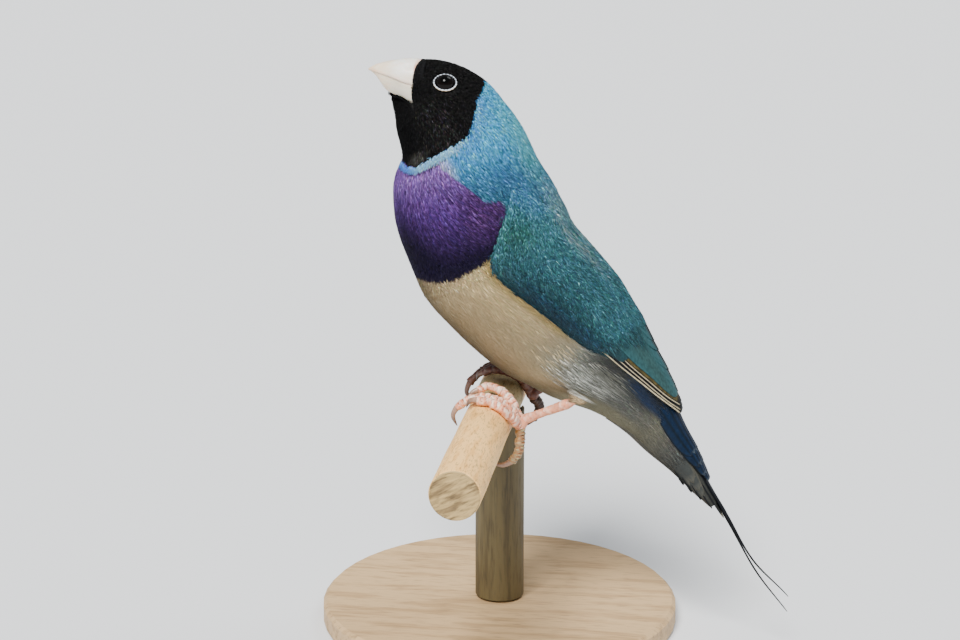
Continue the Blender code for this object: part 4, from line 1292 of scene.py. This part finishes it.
PRIMARY_DARK = (0.0035, 0.0045, 0.0055)
PRIMARY_EDGE = (0.56, 0.48, 0.31)
PANEL_TEAL = (0.026, 0.096, 0.110)
PANEL_GREEN = (0.027, 0.063, 0.058)
PANEL_EDGE = (0.12, 0.20, 0.17)


def long_outline(t):
    """Share of the half width of a vane that stays broad almost to its tip."""
    return outline(t, tip_start=0.9)


def paint_primary(q, t, s, phi, edge=0.05):
    """Dark vane with a crisp pale leading edge."""
    colours = np.ones(q.shape + (3,)) * PRIMARY_DARK
    return blend(colours, PRIMARY_EDGE, step(q, edge, edge - 0.02) * step(t, 0.96, 0.86))


def paint_outer_primary(q, t, s, phi):
    """Lowest primary, with the broadest edge."""
    return paint_primary(q, t, s, phi, 0.07)


def paint_gold_primary(q, t, s, phi):
    """Innermost primary: pale edge, then a band of old gold."""
    colours = paint_primary(q, t, s, phi)
    gold = step(q, 0.06, 0.1) * step(t, 0.86, 0.74) * step(q, 0.7, 0.45)
    return blend(colours, GOLD, gold * (0.68 + 0.32 * np.sin(90.0 * t + 14.0 * q)))


def paint_panel(q, t, s, phi):
    """Teal vane, greener towards its outer edge, with a faint rim and a dark back edge."""
    colours = np.ones(q.shape + (3,)) * PANEL_TEAL
    colours = blend(colours, PANEL_GREEN, 0.7 * bump(phi, 30.0, 22.0))
    colours = blend(colours, PANEL_EDGE, 0.35 * bump(t, 0.93, 0.05) * step(s, 14.5, 15.2))
    return blend(colours, PRIMARY_DARK, 0.85 * step(phi, 8.0, 4.0))


def vane_material(name, roughness, depth):
    """Vanes: their own colours under fine slanting barbs."""
    material, shader, add, link = new_nodes(name)
    colour = add("ShaderNodeAttribute", attribute_name="Plumage")
    barbs = add("ShaderNodeTexNoise", [("Vector", coordinates(add, (700.0, 2600.0, 1400.0), 0.9))],
                Scale=1.0, Detail=3.0)
    tone = ramp(add, barbs.outputs["Fac"], ((0.3, grey(1.0 - depth)), (0.7, grey(1.0))))
    link("Base Color", multiply(add, colour.outputs["Color"], tone, 1.0))
    lift = add("ShaderNodeBump", [("Height", barbs.outputs["Fac"])], Strength=0.25, Distance=0.00006)
    link("Normal", lift.outputs["Normal"])
    shader.inputs["Roughness"].default_value = roughness
    shader.inputs["Specular IOR Level"].default_value = 0.15
    return material


def make_flight(material):
    """Primaries under the panel of secondaries, on both wings."""
    count = len(PRIMARIES) + len(SECONDARIES)
    strips = map_strips(count)
    vanes = []
    for k, edge in enumerate(PRIMARIES):
        lift = 0.75 + 0.15 * k
        paint = (paint_outer_primary, paint_primary, paint_gold_primary)[k]
        vanes.append(laid_vane(edge, 3.6, ((lift - 0.25, lift + 0.1), (lift - 0.35, lift)), paint, strips[k],
                               shape=long_outline))
    for k, edge in enumerate(SECONDARIES):
        lift = 1.18 + 0.1 * k
        sink = (0.0, 0.3, 0.6, 0.7, 0.7)[k]
        lifts = ((lift - sink, lift + 0.1), (lift - sink - 0.1, lift))
        vanes.append(laid_vane(edge, 4.2, lifts, paint_panel, strips[len(PRIMARIES) + k]))
    left = joined(vanes)
    for word, part in (("left", left), ("right", mirrored(left))):
        new_piece("flight_" + word, *part[:2], material, "wing_feather", *part[2:])


# Tail: its root, slope and feathers, with rises over its axis from root to tip
TAIL_ROOT = (36.0, -5.4)
TAIL_SLOPE = -52.5
CENTRAL_LENGTHS = (41.3, 44.4)
CENTRAL_RISES = ((2.5, 1.6, 0.45, -0.7, 0.6), (2.5, 1.4, -0.3, -1.95, -1.9))
RECTRICES = (
    (19.7, (2.0, 0.9, -0.1)),
    (16.6, (1.3, 0.3, -0.8)),
    (13.8, (0.5, -0.4, -1.5)),
    (11.4, (-0.3, -1.2, -2.1)),
    (9.2, (-1.1, -1.8, -2.5)),
)
FAN_STEP = 1.8
TAIL_SHEEN = (0.010, 0.024, 0.040)
TAIL_WEB = (0.040, 0.041, 0.036)
FILAMENT_SHARE = 0.34


def tail_vane(side, length, fan, width, rises, strip, drawn_out=False, colour=INK):
    """Tail feather from the tail's root, drawn out into a filament where it is asked."""
    slope = math.radians(TAIL_SLOPE)
    along = np.array((math.cos(slope), 0.0, math.sin(slope)))
    up = np.array((-along[2], 0.0, along[0]))
    out = np.array((0.0, -float(side), 0.0))
    turn = math.radians(fan)
    heading = along * math.cos(turn) + out * math.sin(turn)
    across = out * math.cos(turn) - along * math.sin(turn)
    root = np.array((TAIL_ROOT[0], BIRD_Y, PERCH_Z + TAIL_ROOT[1])) + out * 0.5
    rows = 90 if drawn_out else VANE_ROWS
    t = np.linspace(0.0, 1.0, rows)
    rise = curve(np.array(rises)[:, None], t * (len(rises) - 1.0))[:, 0]
    middle = root + heading * (length * t)[:, None] + up * rise[:, None]
    if drawn_out:
        web = np.clip(1.0 - t / (1.0 - FILAMENT_SHARE), 0.0, 1.0)
        share = np.clip(0.11 + 1.3 * web ** 1.2, 0.0, 1.0) * (0.7 + 0.3 * step(t, 0.0, 0.1))
        share = share * step(t, 1.02, 0.97)
    else:
        share = outline(t, tip_start=0.45)
    half = (width / 2 * share)[:, None, None]
    q = VANE_COLUMNS[None, :, None]
    roof = 0.22 * half * 4 * q * (1 - q)
    spread = middle[:, None] + across * half * (2 * q - 1) + up * roof
    thickness = 0.14
    if drawn_out:
        shaft = np.interp(t, (0.3, 0.44, 0.52, 0.6, 0.75, 0.9, 1.0),
                          (0.14, 0.48, 0.39, 0.32, 0.3, 0.2, 0.12))
        thickness = shaft[:, None, None]
    top = spread + up * thickness / 2
    under = spread - up * thickness / 2
    colours = np.ones(spread.shape) * colour
    colours = blend(colours, TAIL_SHEEN, 0.7 * bump(VANE_COLUMNS, 0.3, 0.25)[None, :] * np.ones((rows, 1)))
    if not drawn_out:
        web = bump(VANE_COLUMNS, 0.25, 0.25) + bump(VANE_COLUMNS, 0.75, 0.25)
        colours = blend(colours, TAIL_WEB, 0.9 * web[None, :] * step(t, 1.0, 0.9)[:, None])
    if length == RECTRICES[0][0]:
        pale = step(t, 0.93, 0.96)[:, None] * np.ones(len(VANE_COLUMNS))
        colours = blend(colours, UNDER_RIM, pale)
    return plate(top, under, colours, strip)


def make_tail(material):
    """Rectrices in a closed fan and the middle pair drawn out into filaments."""
    strips = map_strips(2 + 2 * len(RECTRICES))
    vanes = []
    for side, length, rises in ((1, CENTRAL_LENGTHS[0], CENTRAL_RISES[0]),
                                (-1, CENTRAL_LENGTHS[1], CENTRAL_RISES[1])):
        vanes.append(tail_vane(side, length, 0.4, 2.9, rises, strips[len(vanes)], drawn_out=True))
    for side in (1, -1):
        for k, (length, rises) in enumerate(RECTRICES):
            vanes.append(tail_vane(side, length, FAN_STEP * (k + 1), 3.2, rises, strips[len(vanes)]))
    tail = new_piece("rectrices", *joined(vanes)[:2], material, "tail_feather", *joined(vanes)[2:])
    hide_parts("tail")


UNDER_GREY = (0.083, 0.085, 0.075)
UNDER_TIP = (0.03, 0.034, 0.033)
UNDER_RIM = (0.17, 0.155, 0.115)
# Painted glint on the tips of the upper tail coverts
GLINT = (0.20, 0.27, 0.33)


def paint_upper_covert(q, t, s, phi):
    """Navy covert with blue outer webs and a painted glint at its tip."""
    colours = np.ones(q.shape + (3,)) * NAVY
    colours = blend(colours, COVERT_BLUE, 0.8 * bump(q, 0.25, 0.2) + 0.8 * bump(q, 0.75, 0.2))
    # Painted glint along the tips of the coverts on the upper side
    rim = step(t, 0.95, 0.99) * step(phi, 8.0, 20.0) * step(phi, 44.0, 30.0)
    return blend(colours, GLINT, 0.45 * rim)


def paint_under_covert(q, t, s, phi):
    """Grey-beige covert that darkens towards the tail, with a paler rim."""
    colours = np.ones(q.shape + (3,)) * UNDER_GREY
    colours = blend(colours, UNDER_TIP, 0.9 * step(s, 16.5, 17.9))
    rim = np.maximum(step(t, 0.93, 0.98), step(np.abs(q - 0.5), 0.42, 0.48))
    colours = blend(colours, UNDER_RIM, 0.5 * rim * step(s, 19.6, 18.6))
    return blend(colours, UNDER_TIP, 0.5 * bump(q, 0.5, 0.06))


def make_tail_coverts(material, down):
    """Coverts over and under the root of the tail, in tiers of (start, length, count, spread, width)."""
    upper_tiers = ((14.9, 2.9, 7, 60.0, 3.2), (15.5, 2.7, 7, 55.0, 3.0), (16.1, 2.4, 6, 45.0, 2.6),
                   (16.6, 2.1, 5, 30.0, 2.2))
    under_tiers = ((15.4, 3.1, 8, 108.0, 3.8), (15.9, 2.9, 7, 108.0, 3.4), (16.4, 2.6, 6, 104.0, 2.9),
                   (16.8, 2.3, 5, 92.0, 2.3))
    for word, tiers, middle, paint, cloth in (("upper", upper_tiers, 0.0, paint_upper_covert, material),
                                              ("under", under_tiers, 180.0, paint_under_covert, down)):
        strips = map_strips(sum(tier[2] for tier in tiers))
        vanes = []
        for tier, (start, length, count, spread, width) in enumerate(tiers):
            for k in range(count):
                angle = middle + spread * (2 * k / (count - 1) - 1)
                end = middle + (angle - middle) * 0.8
                rise = 0.1 + 0.05 * abs(k - (count - 1) / 2) - 0.02 * tier
                rise += 0.08 if word == "upper" else -0.45
                edge = ((start, angle), (start + length / 2, (angle + end) / 2), (start + length, end))
                lifts = ((-0.5, rise), (-0.5, rise))
                vanes.append(laid_vane(edge, width, lifts, paint, strips[len(vanes)], centred=True, rows=22,
                                       columns=VANE_COLUMNS[[0, 2, 4, 6, 7, 8, 9, 10]], camber=0.15))
        part = joined(vanes)
        new_piece("tail_coverts_" + word, *part[:2], cloth, "rump_feather", *part[2:])


# Legs, feet and claws. On the left, a leg's places are sideways from the bird's middle plane.
ANKLE = (17.7, 5.75)
ANKLE_SPREAD = 11.4
FOOT_BASE = (6.6, 1.0)
FOOT_SPREAD = {1: 11.2, -1: 9.2}
FOOT_WRAP = {1: 1.0, -1: 1.06}
TOE_RADIUS = 0.98
TOES = {
    "inner": (((10, 6.7, -0.3), (42, 6.5, -1.8), (70, 6.7, -3.4), (92, 6.9, -3.9), (110, 6.6, -3.2)),
              ((121, 6.6, -2.7), (133, 5.9, -2.1))),
    "middle": (((7, 6.7, 0.0), (36, 6.2, 0.9), (66, 6.05, 1.4), (96, 6.1, 1.2), (124, 6.4, 0.6),
                (149, 6.95, 0.1)), ((166, 7.0, 0.0), (184, 6.0, 0.0))),
    "outer": (((4, 6.6, 0.6), (27, 6.1, 3.0), (52, 6.0, 4.4), (78, 6.05, 4.0), (102, 6.2, 3.2)),
              ((116, 6.5, 2.8), (131, 5.7, 2.4))),
}
HALLUX = {
    "left": (((-2, 6.9, 0.0), (-22, 7.4, 0.2), (-40, 8.5, 0.2), (-56, 9.1, 0.0)),
             ((-70, 8.9, -0.1), (-88, 7.6, -0.2))),
    "right": (((-2, 6.9, 0.3), (-10, 8.2, 1.2), (-24, 8.9, 2.2), (-38, 8.8, 2.8)),
              ((-52, 8.6, 3.4), (-68, 7.6, 3.9))),
}
CLAW_RADII = (0.66, 0.6, 0.52, 0.42, 0.28, 0.08)
LEG_PINK = (0.92, 0.37, 0.205)
LEG_DEEP = (0.30, 0.06, 0.03)
# Pale flakes of the scales, also used as painted highlight on the scutes' tops
LEG_FLAKE_AND_HIGHLIGHT = (1.0, 0.93, 0.80)
TOE_GOLD = (0.60, 0.34, 0.13)
# Painted shade that darkens the far foot
FAR_FOOT_PAINTED_SHADE = (0.135, 0.088, 0.078)
HALLUX_SHADE = np.array((0.40, 0.47, 0.31))
CLAW_ROOT = (0.42, 0.25, 0.17)
CLAW_TIP = (0.13, 0.075, 0.05)


def leg_point(side, x, spread, z):
    return np.array((x, BIRD_Y - side * spread, PERCH_Z + z))


def perch_point(side, angle, reach, aside):
    """Place round the perch: angle from +X upwards, reach from its axis, aside from the foot."""
    turn = math.radians(angle * FOOT_WRAP[side])
    y = BIRD_Y - side * (FOOT_SPREAD[side] + aside)
    return np.array((reach * math.cos(turn), y, PERCH_Z + reach * math.sin(turn)))


def lumps(rng, rows, sides, long, wide):
    """Smooth random heights over a tube, with lumps some rows long and some sides wide."""
    coarse = rng.normal(0.0, 1.0, (rows // long + 2, sides // wide))
    down = np.arange(rows) / long
    i = np.floor(down).astype(int)
    f = step(down - i, 0.0, 1.0)[:, None]
    lines = coarse[i] * (1.0 - f) + coarse[i + 1] * f
    around = np.arange(sides) / wide
    k = np.floor(around).astype(int)
    f = step(around - k, 0.0, 1.0)[None, :]
    count = sides // wide
    return lines[:, k % count] * (1.0 - f) + lines[:, (k + 1) % count] * f


def limb(path, radius, outer, scutes, rows, sides=28, relief=0.12, pads=0.0, seed=0, flake_highlight=0.65,
         crease_shade=0.95, rough=0.09):
    """Scaly tube along points: overlapping scutes on its outer side and pads beneath.

    Outer gives the direction of the scutes' middle for each point of the path.
    """
    rng = np.random.default_rng(seed)
    line = smooth_rows(np.column_stack((path, outer)), rows)
    middle, face = line[:, :3], line[:, 3:]
    along = unit(np.gradient(middle, axis=0))
    face = unit(face - dot(face, along)[:, None] * along)
    flank = np.cross(along, face)
    t = np.linspace(0.0, 1.0, rows)
    size = np.interp(t, np.linspace(0.0, 1.0, len(radius)), radius)
    turn = np.arange(sides) * math.tau / sides
    above = np.clip(np.cos(turn) + 0.45, 0.0, 1.0)[None, :]
    below = np.clip(-np.cos(turn), 0.0, 1.0)[None, :]
    ragged = rng.uniform(-1.0, 1.0, (scutes + 3, sides))
    ragged = (ragged + np.roll(ragged, 1, 1)) / 2
    phase = (t * scutes)[:, None] + 0.1 * np.sin(3 * turn)[None, :]
    phase = phase + 0.16 * ragged[np.floor(phase).astype(int) + 1, np.arange(sides)[None, :]]
    number = np.clip(np.floor(phase).astype(int), -1, scutes + 1)
    saw = phase - number
    lip = np.interp(saw, (0.0, 0.12, 0.8, 1.0), (0.0, 0.45, 1.0, 0.15))
    grain = rng.uniform(-1.0, 1.0, scutes + 3)[number + 1]
    bulge = np.abs(np.sin(math.pi * phase / 3)) ** 0.8
    crust = lumps(rng, rows, sides, 5, 4)
    swell = 1.0 + relief * above * (lip + 0.45 * grain - 0.5) + pads * below * (bulge - 0.5) + rough * crust
    spoke = (face[:, None] * np.cos(turn)[None, :, None] + flank[:, None] * np.sin(turn)[None, :, None])
    rings = middle[:, None] + spoke * (size[:, None] * swell)[..., None]
    points, triangles, places = loft(rings)
    colours = np.ones(swell.shape + (3,)) * LEG_PINK
    colours = colours * (1.0 + 0.18 * (grain * above))[..., None]
    # Dark lines at the scutes' edges: their own colour, deepened by painted shade in the creases
    colours = blend(colours, LEG_DEEP, crease_shade * step(saw, 0.3, 0.02) * above)
    colours = blend(colours, LEG_DEEP, 5.0 * rough * step(crust, -0.5, -1.8))
    colours = blend(colours, LEG_FLAKE_AND_HIGHLIGHT, 5.0 * rough * step(crust, 0.3, 1.3))
    speck = lumps(rng, rows, sides, 2, 2)
    colours = blend(colours, LEG_FLAKE_AND_HIGHLIGHT, 6.0 * rough * step(speck, 0.5, 1.4))
    colours = blend(colours, LEG_DEEP, 3.5 * rough * step(speck, -0.7, -1.7))
    flaky = np.clip(0.55 + 0.45 * grain + 0.35 * ragged[number + 1, np.arange(sides)[None, :]], 0.0, 1.0)
    # Pale flakes on the upper side: their own colour, strengthened by a painted highlight
    colours = blend(colours, LEG_FLAKE_AND_HIGHLIGHT, flake_highlight * step(saw, 0.45, 0.85) * above * flaky)
    colours = blend(colours, TOE_GOLD, 0.45 * below * (1.0 if pads else 0.2))
    colours = np.concatenate((colours.reshape(-1, 3), np.array((LEG_DEEP, LEG_PINK))))
    return points, triangles, colours, places


def make_legs(material, claw_material):
    """Scaly shanks and toes that grip the perch, and the claws."""
    for side, word in ((1, "left"), (-1, "right")):
        ankle = leg_point(side, ANKLE[0], ANKLE_SPREAD, ANKLE[1])
        foot = leg_point(side, FOOT_BASE[0], FOOT_SPREAD[side] - 0.3, FOOT_BASE[1])
        along = unit(foot - ankle)
        front = np.array((-0.45, -0.25 * side, 1.0))
        path = [ankle - along * 0.5]
        path += [ankle + (foot - ankle) * f for f in (0.0, 0.15, 0.3, 0.55, 0.8, 0.95, 1.06)]
        radius = (0.5, 1.0, 1.0, 0.88, 0.84, 0.92, 1.1, 1.2)
        shank = limb(path, radius, [front] * len(path), 8, 150, relief=0.045, seed=20 + side, flake_highlight=0.5,
                     crease_shade=0.35, rough=0.03)
        # Painted shade: the far foot's shank, toes and claws are darkened as if in the bird's shadow
        far_foot_shade = np.ones(3) if side > 0 else np.array(FAR_FOOT_PAINTED_SHADE)
        shank = (*shank[:2], shank[2] * far_foot_shade * 0.87, shank[3])
        piece = new_piece("shank_" + word, *shank[:2], material, "leg_skin", *shank[2:])
        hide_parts("tarsus_" + word)
        parts = []
        toes = dict(TOES, hallux=HALLUX[word])
        for k, (toe, (places, claw_places)) in enumerate(toes.items()):
            path = [perch_point(side, *place) for place in places]
            outer = [unit(point * (1.0, 0.0, 1.0) - (0.0, 0.0, PERCH_Z)) for point in path]
            radius = np.linspace(TOE_RADIUS * 1.08, TOE_RADIUS * 0.8, 6)
            count = 14 if toe == "middle" else 11
            horny = limb(path, radius, outer, count, 12 * count, relief=0.15, pads=0.2,
                         seed=40 + 5 * k + side, flake_highlight=0.85)
            shade = HALLUX_SHADE if toe == "hallux" else 1.0
            parts.append((*horny[:2], horny[2] * shade, horny[3]))
            fine = smooth_rows(path, 60)
            start = fine[-1] - unit(fine[-1] - fine[-2]) * 0.25
            claw_path = [start] + [perch_point(side, *place) for place in claw_places]
            claw = claw_horn(claw_path)
            piece = new_piece("horn_" + toe + "_" + word, *claw[:2], claw_material, "claw", claw[2] * far_foot_shade ** 0.5, claw[3])
            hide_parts("claw_" + toe + "_" + word)
        pad = ball(perch_point(side, 6.0, 7.0, 0.0), 1.4, 40, 26, (1.0, 1.1, 1.0))
        points, triangles, places = loft(pad)
        parts.append((points, triangles, np.ones(points.shape) * LEG_PINK * 0.9, places))
        parts = [(*part[:3], part[3] * (0.24, 1.0) + (0.19 * k, 0.0)) for k, part in enumerate(parts)]
        part = joined(parts)
        part[2] = part[2] * far_foot_shade
        piece = new_piece("toes_" + word, *part[:2], material, "leg_skin", *part[2:])
        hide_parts("foot_" + word)


def claw_horn(path, rows=40, sides=20):
    """Curved tapered claw, grooved beneath."""
    line = smooth_rows(path, rows)
    along = unit(np.gradient(line, axis=0))
    radial = unit(line * (1.0, 0.0, 1.0) - (0.0, 0.0, PERCH_Z))
    face = unit(radial - dot(radial, along)[:, None] * along)
    flank = np.cross(along, face)
    t = np.linspace(0.0, 1.0, rows)
    size = np.interp(t, np.linspace(0.0, 1.0, len(CLAW_RADII)), CLAW_RADII)
    turn = np.arange(sides) * math.tau / sides
    groove = 1.0 - 0.25 * np.clip(-np.cos(turn), 0.0, 1.0) ** 3
    spoke = face[:, None] * (1.1 * np.cos(turn))[None, :, None]
    spoke = spoke + flank[:, None] * (0.85 * np.sin(turn))[None, :, None]
    rings = line[:, None] + spoke * (size[:, None] * groove)[..., None]
    points, triangles, places = loft(rings)
    colours = blend(np.ones(rings.shape) * CLAW_ROOT, CLAW_TIP, step(t, 0.2, 0.9)[:, None] * np.ones(sides))
    colours = np.concatenate((colours.reshape(-1, 3), np.array((CLAW_ROOT, CLAW_TIP))))
    return points, triangles, colours, places


def leg_materials():
    material, shader, add, link = new_nodes("leg_scales")
    colour = add("ShaderNodeAttribute", attribute_name="Plumage")
    flakes = add("ShaderNodeTexNoise", [("Vector", coordinates(add, (1.0, 1.0, 1.0)))],
                 Scale=1500.0, Detail=4.0)
    tone = ramp(add, flakes.outputs["Fac"], ((0.3, (0.72, 0.6, 0.56)), (0.5, grey(0.95)),
                                             (0.72, grey(1.0))))
    link("Base Color", multiply(add, colour.outputs["Color"], tone, 1.0))
    lift = add("ShaderNodeBump", [("Height", flakes.outputs["Fac"])], Strength=0.4, Distance=0.0001)
    link("Normal", lift.outputs["Normal"])
    shader.inputs["Roughness"].default_value = 0.48
    shader.inputs["Subsurface Weight"].default_value = 0.2
    shader.inputs["Subsurface Radius"].default_value = (0.001, 0.0004, 0.0003)
    claw, shader, add, link = new_nodes("claw_horn")
    colour = add("ShaderNodeAttribute", attribute_name="Plumage")
    grain = add("ShaderNodeTexNoise", [("Vector", coordinates(add, (1.0, 1.0, 1.0)))],
                Scale=2500.0, Detail=2.0)
    tone = ramp(add, grain.outputs["Fac"], ((0.3, grey(0.7)), (0.7, grey(1.0))))
    link("Base Color", multiply(add, colour.outputs["Color"], tone, 1.0))
    shader.inputs["Roughness"].default_value = 0.35
    return material, claw


# Perch and stand
# Painted shade: greyer, darker tone of the dowel under the bird, where its shadow falls
PAINTED_SHADE_TONE = (0.45, 0.57, 0.78)


def wood_material(name, light, dark, stretch, fleck, roughness=0.62, turn=0.0, shaded_span=()):
    """Wood: long grain and fine pores, with the stretch of its grain by axis.

    It has painted shade, greyer and darker, between two places along Y, where they are given.
    """
    material, shader, add, link = new_nodes(name)
    place = coordinates(add, stretch, turn)
    grain = add("ShaderNodeTexNoise", [("Vector", place)], Scale=1.0, Detail=6.0)
    fine = add("ShaderNodeTexNoise", [("Vector", place)], Scale=4.0, Detail=3.0)
    tone = ramp(add, grain.outputs["Fac"], ((0.36, dark), (0.52, light), (0.75, light)))
    pores = ramp(add, fine.outputs["Fac"], ((0.34, grey(fleck)), (0.46, grey(1.0)), (1.0, grey(1.0))))
    base = multiply(add, tone, pores, 1.0)
    # Painted shade over the span of the dowel that lies in the bird's shadow
    if shaded_span:
        apart = add("ShaderNodeSeparateXYZ", [("Vector", coordinates(add, (1.0, 1.0, 1.0)))])
        along = add("ShaderNodeMapRange", [("Value", apart.outputs["Y"])], From_Min=shaded_span[0], From_Max=shaded_span[1])
        painted_shade = ramp(add, along.outputs["Result"], ((0.0, grey(1.0)), (0.16, PAINTED_SHADE_TONE), (0.84, PAINTED_SHADE_TONE),
                                                   (1.0, grey(1.0))))
        base = multiply(add, base, painted_shade, 1.0)
    link("Base Color", base)
    lift = add("ShaderNodeBump", [("Height", fine.outputs["Fac"])], Strength=0.45, Distance=0.00015)
    link("Normal", lift.outputs["Normal"])
    shader.inputs["Roughness"].default_value = roughness
    return material


def make_perch(material, end_material):
    """Dowel, a little uneven, with sawn ends."""
    low, high = node_box("perch")
    radius = (high[0] - low[0]) / 2
    sides = 160
    rows = 150
    chamfer = 0.35
    turn = np.arange(sides) * math.tau / sides
    y = np.concatenate((
        (low[1], low[1] + 0.12 * chamfer, low[1] + 0.4 * chamfer, low[1] + chamfer),
        np.linspace(low[1] + 1.5 * chamfer, high[1] - 1.5 * chamfer, rows),
        (high[1] - chamfer, high[1] - 0.4 * chamfer, high[1] - 0.12 * chamfer, high[1]),
    ))
    inset = np.concatenate(((1.0, 0.65, 0.25, 0.05), np.zeros(rows), (0.05, 0.25, 0.65, 1.0)))
    uneven = 0.05 * np.sin(0.11 * y + 1.0)[:, None] * np.cos(2 * turn)[None, :]
    uneven = uneven + 0.03 * np.sin(0.31 * y)[:, None] * np.cos(3 * turn + 1.0)[None, :]
    rough = np.random.default_rng(60).normal(0.0, 0.012, (len(y), sides))
    rough = (rough + np.roll(rough, 1, 1) + np.roll(rough, 1, 0)) / 3
    size = radius - 0.09 - chamfer * inset[:, None] + uneven + rough
    ring = np.stack((
        size * np.cos(turn),
        y[:, None] + 0.0 * size,
        PERCH_Z + size * np.sin(turn),
    ), -1)
    shrink = np.linspace(0.97, 0.03, 34)
    ends = []
    for edge, inward in ((ring[0], 1.0), (ring[-1], -1.0)):
        middle = edge.mean(0)
        disk = middle + (edge - middle) * shrink[:, None, None]
        slant = (disk[..., 2] - PERCH_Z) * 0.88 - disk[..., 0] * 0.47
        cross = disk[..., 0] * 0.88 + (disk[..., 2] - PERCH_Z) * 0.47
        saw = 0.09 * np.sin(3.1 * slant + 0.8 * np.sin(0.9 * cross)) + 0.05 * np.sin(7.3 * slant + 2.0)
        disk[..., 1] += inward * (0.12 + saw * np.sin(0.8 * cross + 1.5 * slant))
        ends.append(disk)
    rings = np.concatenate((ends[0][::-1], ring, ends[1]))
    points, triangles, places = loft(rings)
    perch = new_piece("dowel", points, triangles, material, "wood", None, places)
    perch.data.materials.append(end_material)
    middle = points[triangles].mean(1)
    near_end = np.minimum(middle[:, 1] - low[1], high[1] - middle[:, 1]) < 0.6
    on_end = near_end & (np.hypot(middle[:, 0], middle[:, 2] - PERCH_Z) < radius - 0.22)
    perch.data.polygons.foreach_set("material_index", on_end.astype(np.int32))
    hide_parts("perch")


def dress_node(node, material):
    """Give a node of the frame a better material."""
    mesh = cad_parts[node].data
    for index in range(len(mesh.materials)):
        mesh.materials[index] = material


def make_stage():
    """Pale floor, soft light from above and the camera."""
    size = 4000.0
    mesh = bpy.data.meshes.new("floor")
    corners = [(-size, -size, 0.0), (size, -size, 0.0), (size, size, 0.0), (-size, size, 0.0)]
    mesh.from_pydata([tuple(value * MM for value in corner) for corner in corners], [], [(0, 1, 2, 3)])
    material, shader, add, link = new_nodes("floor_pale")
    shader.inputs["Base Color"].default_value = (0.74, 0.76, 0.78, 1.0)
    shader.inputs["Roughness"].default_value = 0.9
    mesh.materials.append(material)
    floor = bpy.data.objects.new("floor", mesh)
    bpy.context.scene.collection.objects.link(floor)
    world = bpy.data.worlds.new("studio")
    world.use_nodes = True
    world.node_tree.nodes["Background"].inputs["Color"].default_value = (0.92, 0.95, 1.0, 1.0)
    world.node_tree.nodes["Background"].inputs["Strength"].default_value = WORLD_LIGHT
    bpy.context.scene.world = world
    for name, direction, strength, softness, colour in LIGHTS:
        lamp = bpy.data.lights.new(name, "SUN")
        lamp.energy = strength
        lamp.angle = math.radians(softness)
        lamp.color = colour
        light = bpy.data.objects.new(name, lamp)
        bpy.context.scene.collection.objects.link(light)
        away = unit(np.array(direction))
        level = unit(np.cross((0.0, 0.0, 1.0), away))
        upright = np.cross(away, level)
        light.matrix_world = Matrix(np.stack((level, upright, away), -1).tolist()).to_4x4()
    azimuth = math.radians(CAMERA_AZIMUTH)
    elevation = math.radians(CAMERA_ELEVATION)
    away = (math.sin(azimuth) * math.cos(elevation), -math.cos(azimuth) * math.cos(elevation),
            math.sin(elevation))
    level = (math.cos(azimuth), math.sin(azimuth), 0.0)
    upright = tuple(np.cross(away, level))
    data = bpy.data.cameras.new("camera")
    data.lens = CAMERA_LENS
    data.sensor_width = CAMERA_SENSOR
    data.clip_start = 0.01
    camera = bpy.data.objects.new("camera", data)
    bpy.context.scene.collection.objects.link(camera)
    rotation = Matrix(np.stack((level, upright, away), -1).tolist()).to_4x4()
    camera.matrix_world = Matrix.Translation([value * MM for value in CAMERA_PLACE]) @ rotation
    bpy.context.scene.camera = camera


black = feather_material("plumage_black", 0.75, 0.0, gloss=0.1, depth=0.5)
soft = feather_material("plumage_soft", 0.6, 0.03, gloss=0.15)
silk = feather_material("plumage_silk", 0.6, 0.06, gloss=0.2, depth=0.1)
vane = vane_material("plumage_vane", 0.55, 0.45)
down = vane_material("plumage_down", 0.7, 0.15)
make_skin(soft)
make_coat((black, soft, silk))
make_wisps(silk)
make_cuffs(silk)
for side, word in ((1, "left"), (-1, "right")):
    make_wing_skin(word, side, soft)
make_flight(vane)
make_tail(vane)
make_tail_coverts(vane, down)
make_bill()
make_ruff(black)
make_eyes()
make_legs(*leg_materials())
# The dowel's wood carries painted shade between the feet, under the bird
make_perch(wood_material("dowel_wood", (1.0, 0.60, 0.21), (0.84, 0.46, 0.135), (900.0, 160.0, 900.0), 0.6,
                         shaded_span=(-0.019, 0.002)),
           wood_material("sawn_wood", (0.44, 0.30, 0.12), (0.19, 0.12, 0.045), (180.0, 600.0, 900.0), 0.7,
                         turn=0.49))
dress_node("stand_post", wood_material("post_wood", (0.11, 0.085, 0.034), (0.07, 0.052, 0.02),
                                       (650.0, 650.0, 60.0), 0.75))
dress_node("stand_base", wood_material("base_wood", (0.55, 0.37, 0.19), (0.42, 0.27, 0.13),
                                       (60.0, 500.0, 500.0), 0.8))
make_stage()
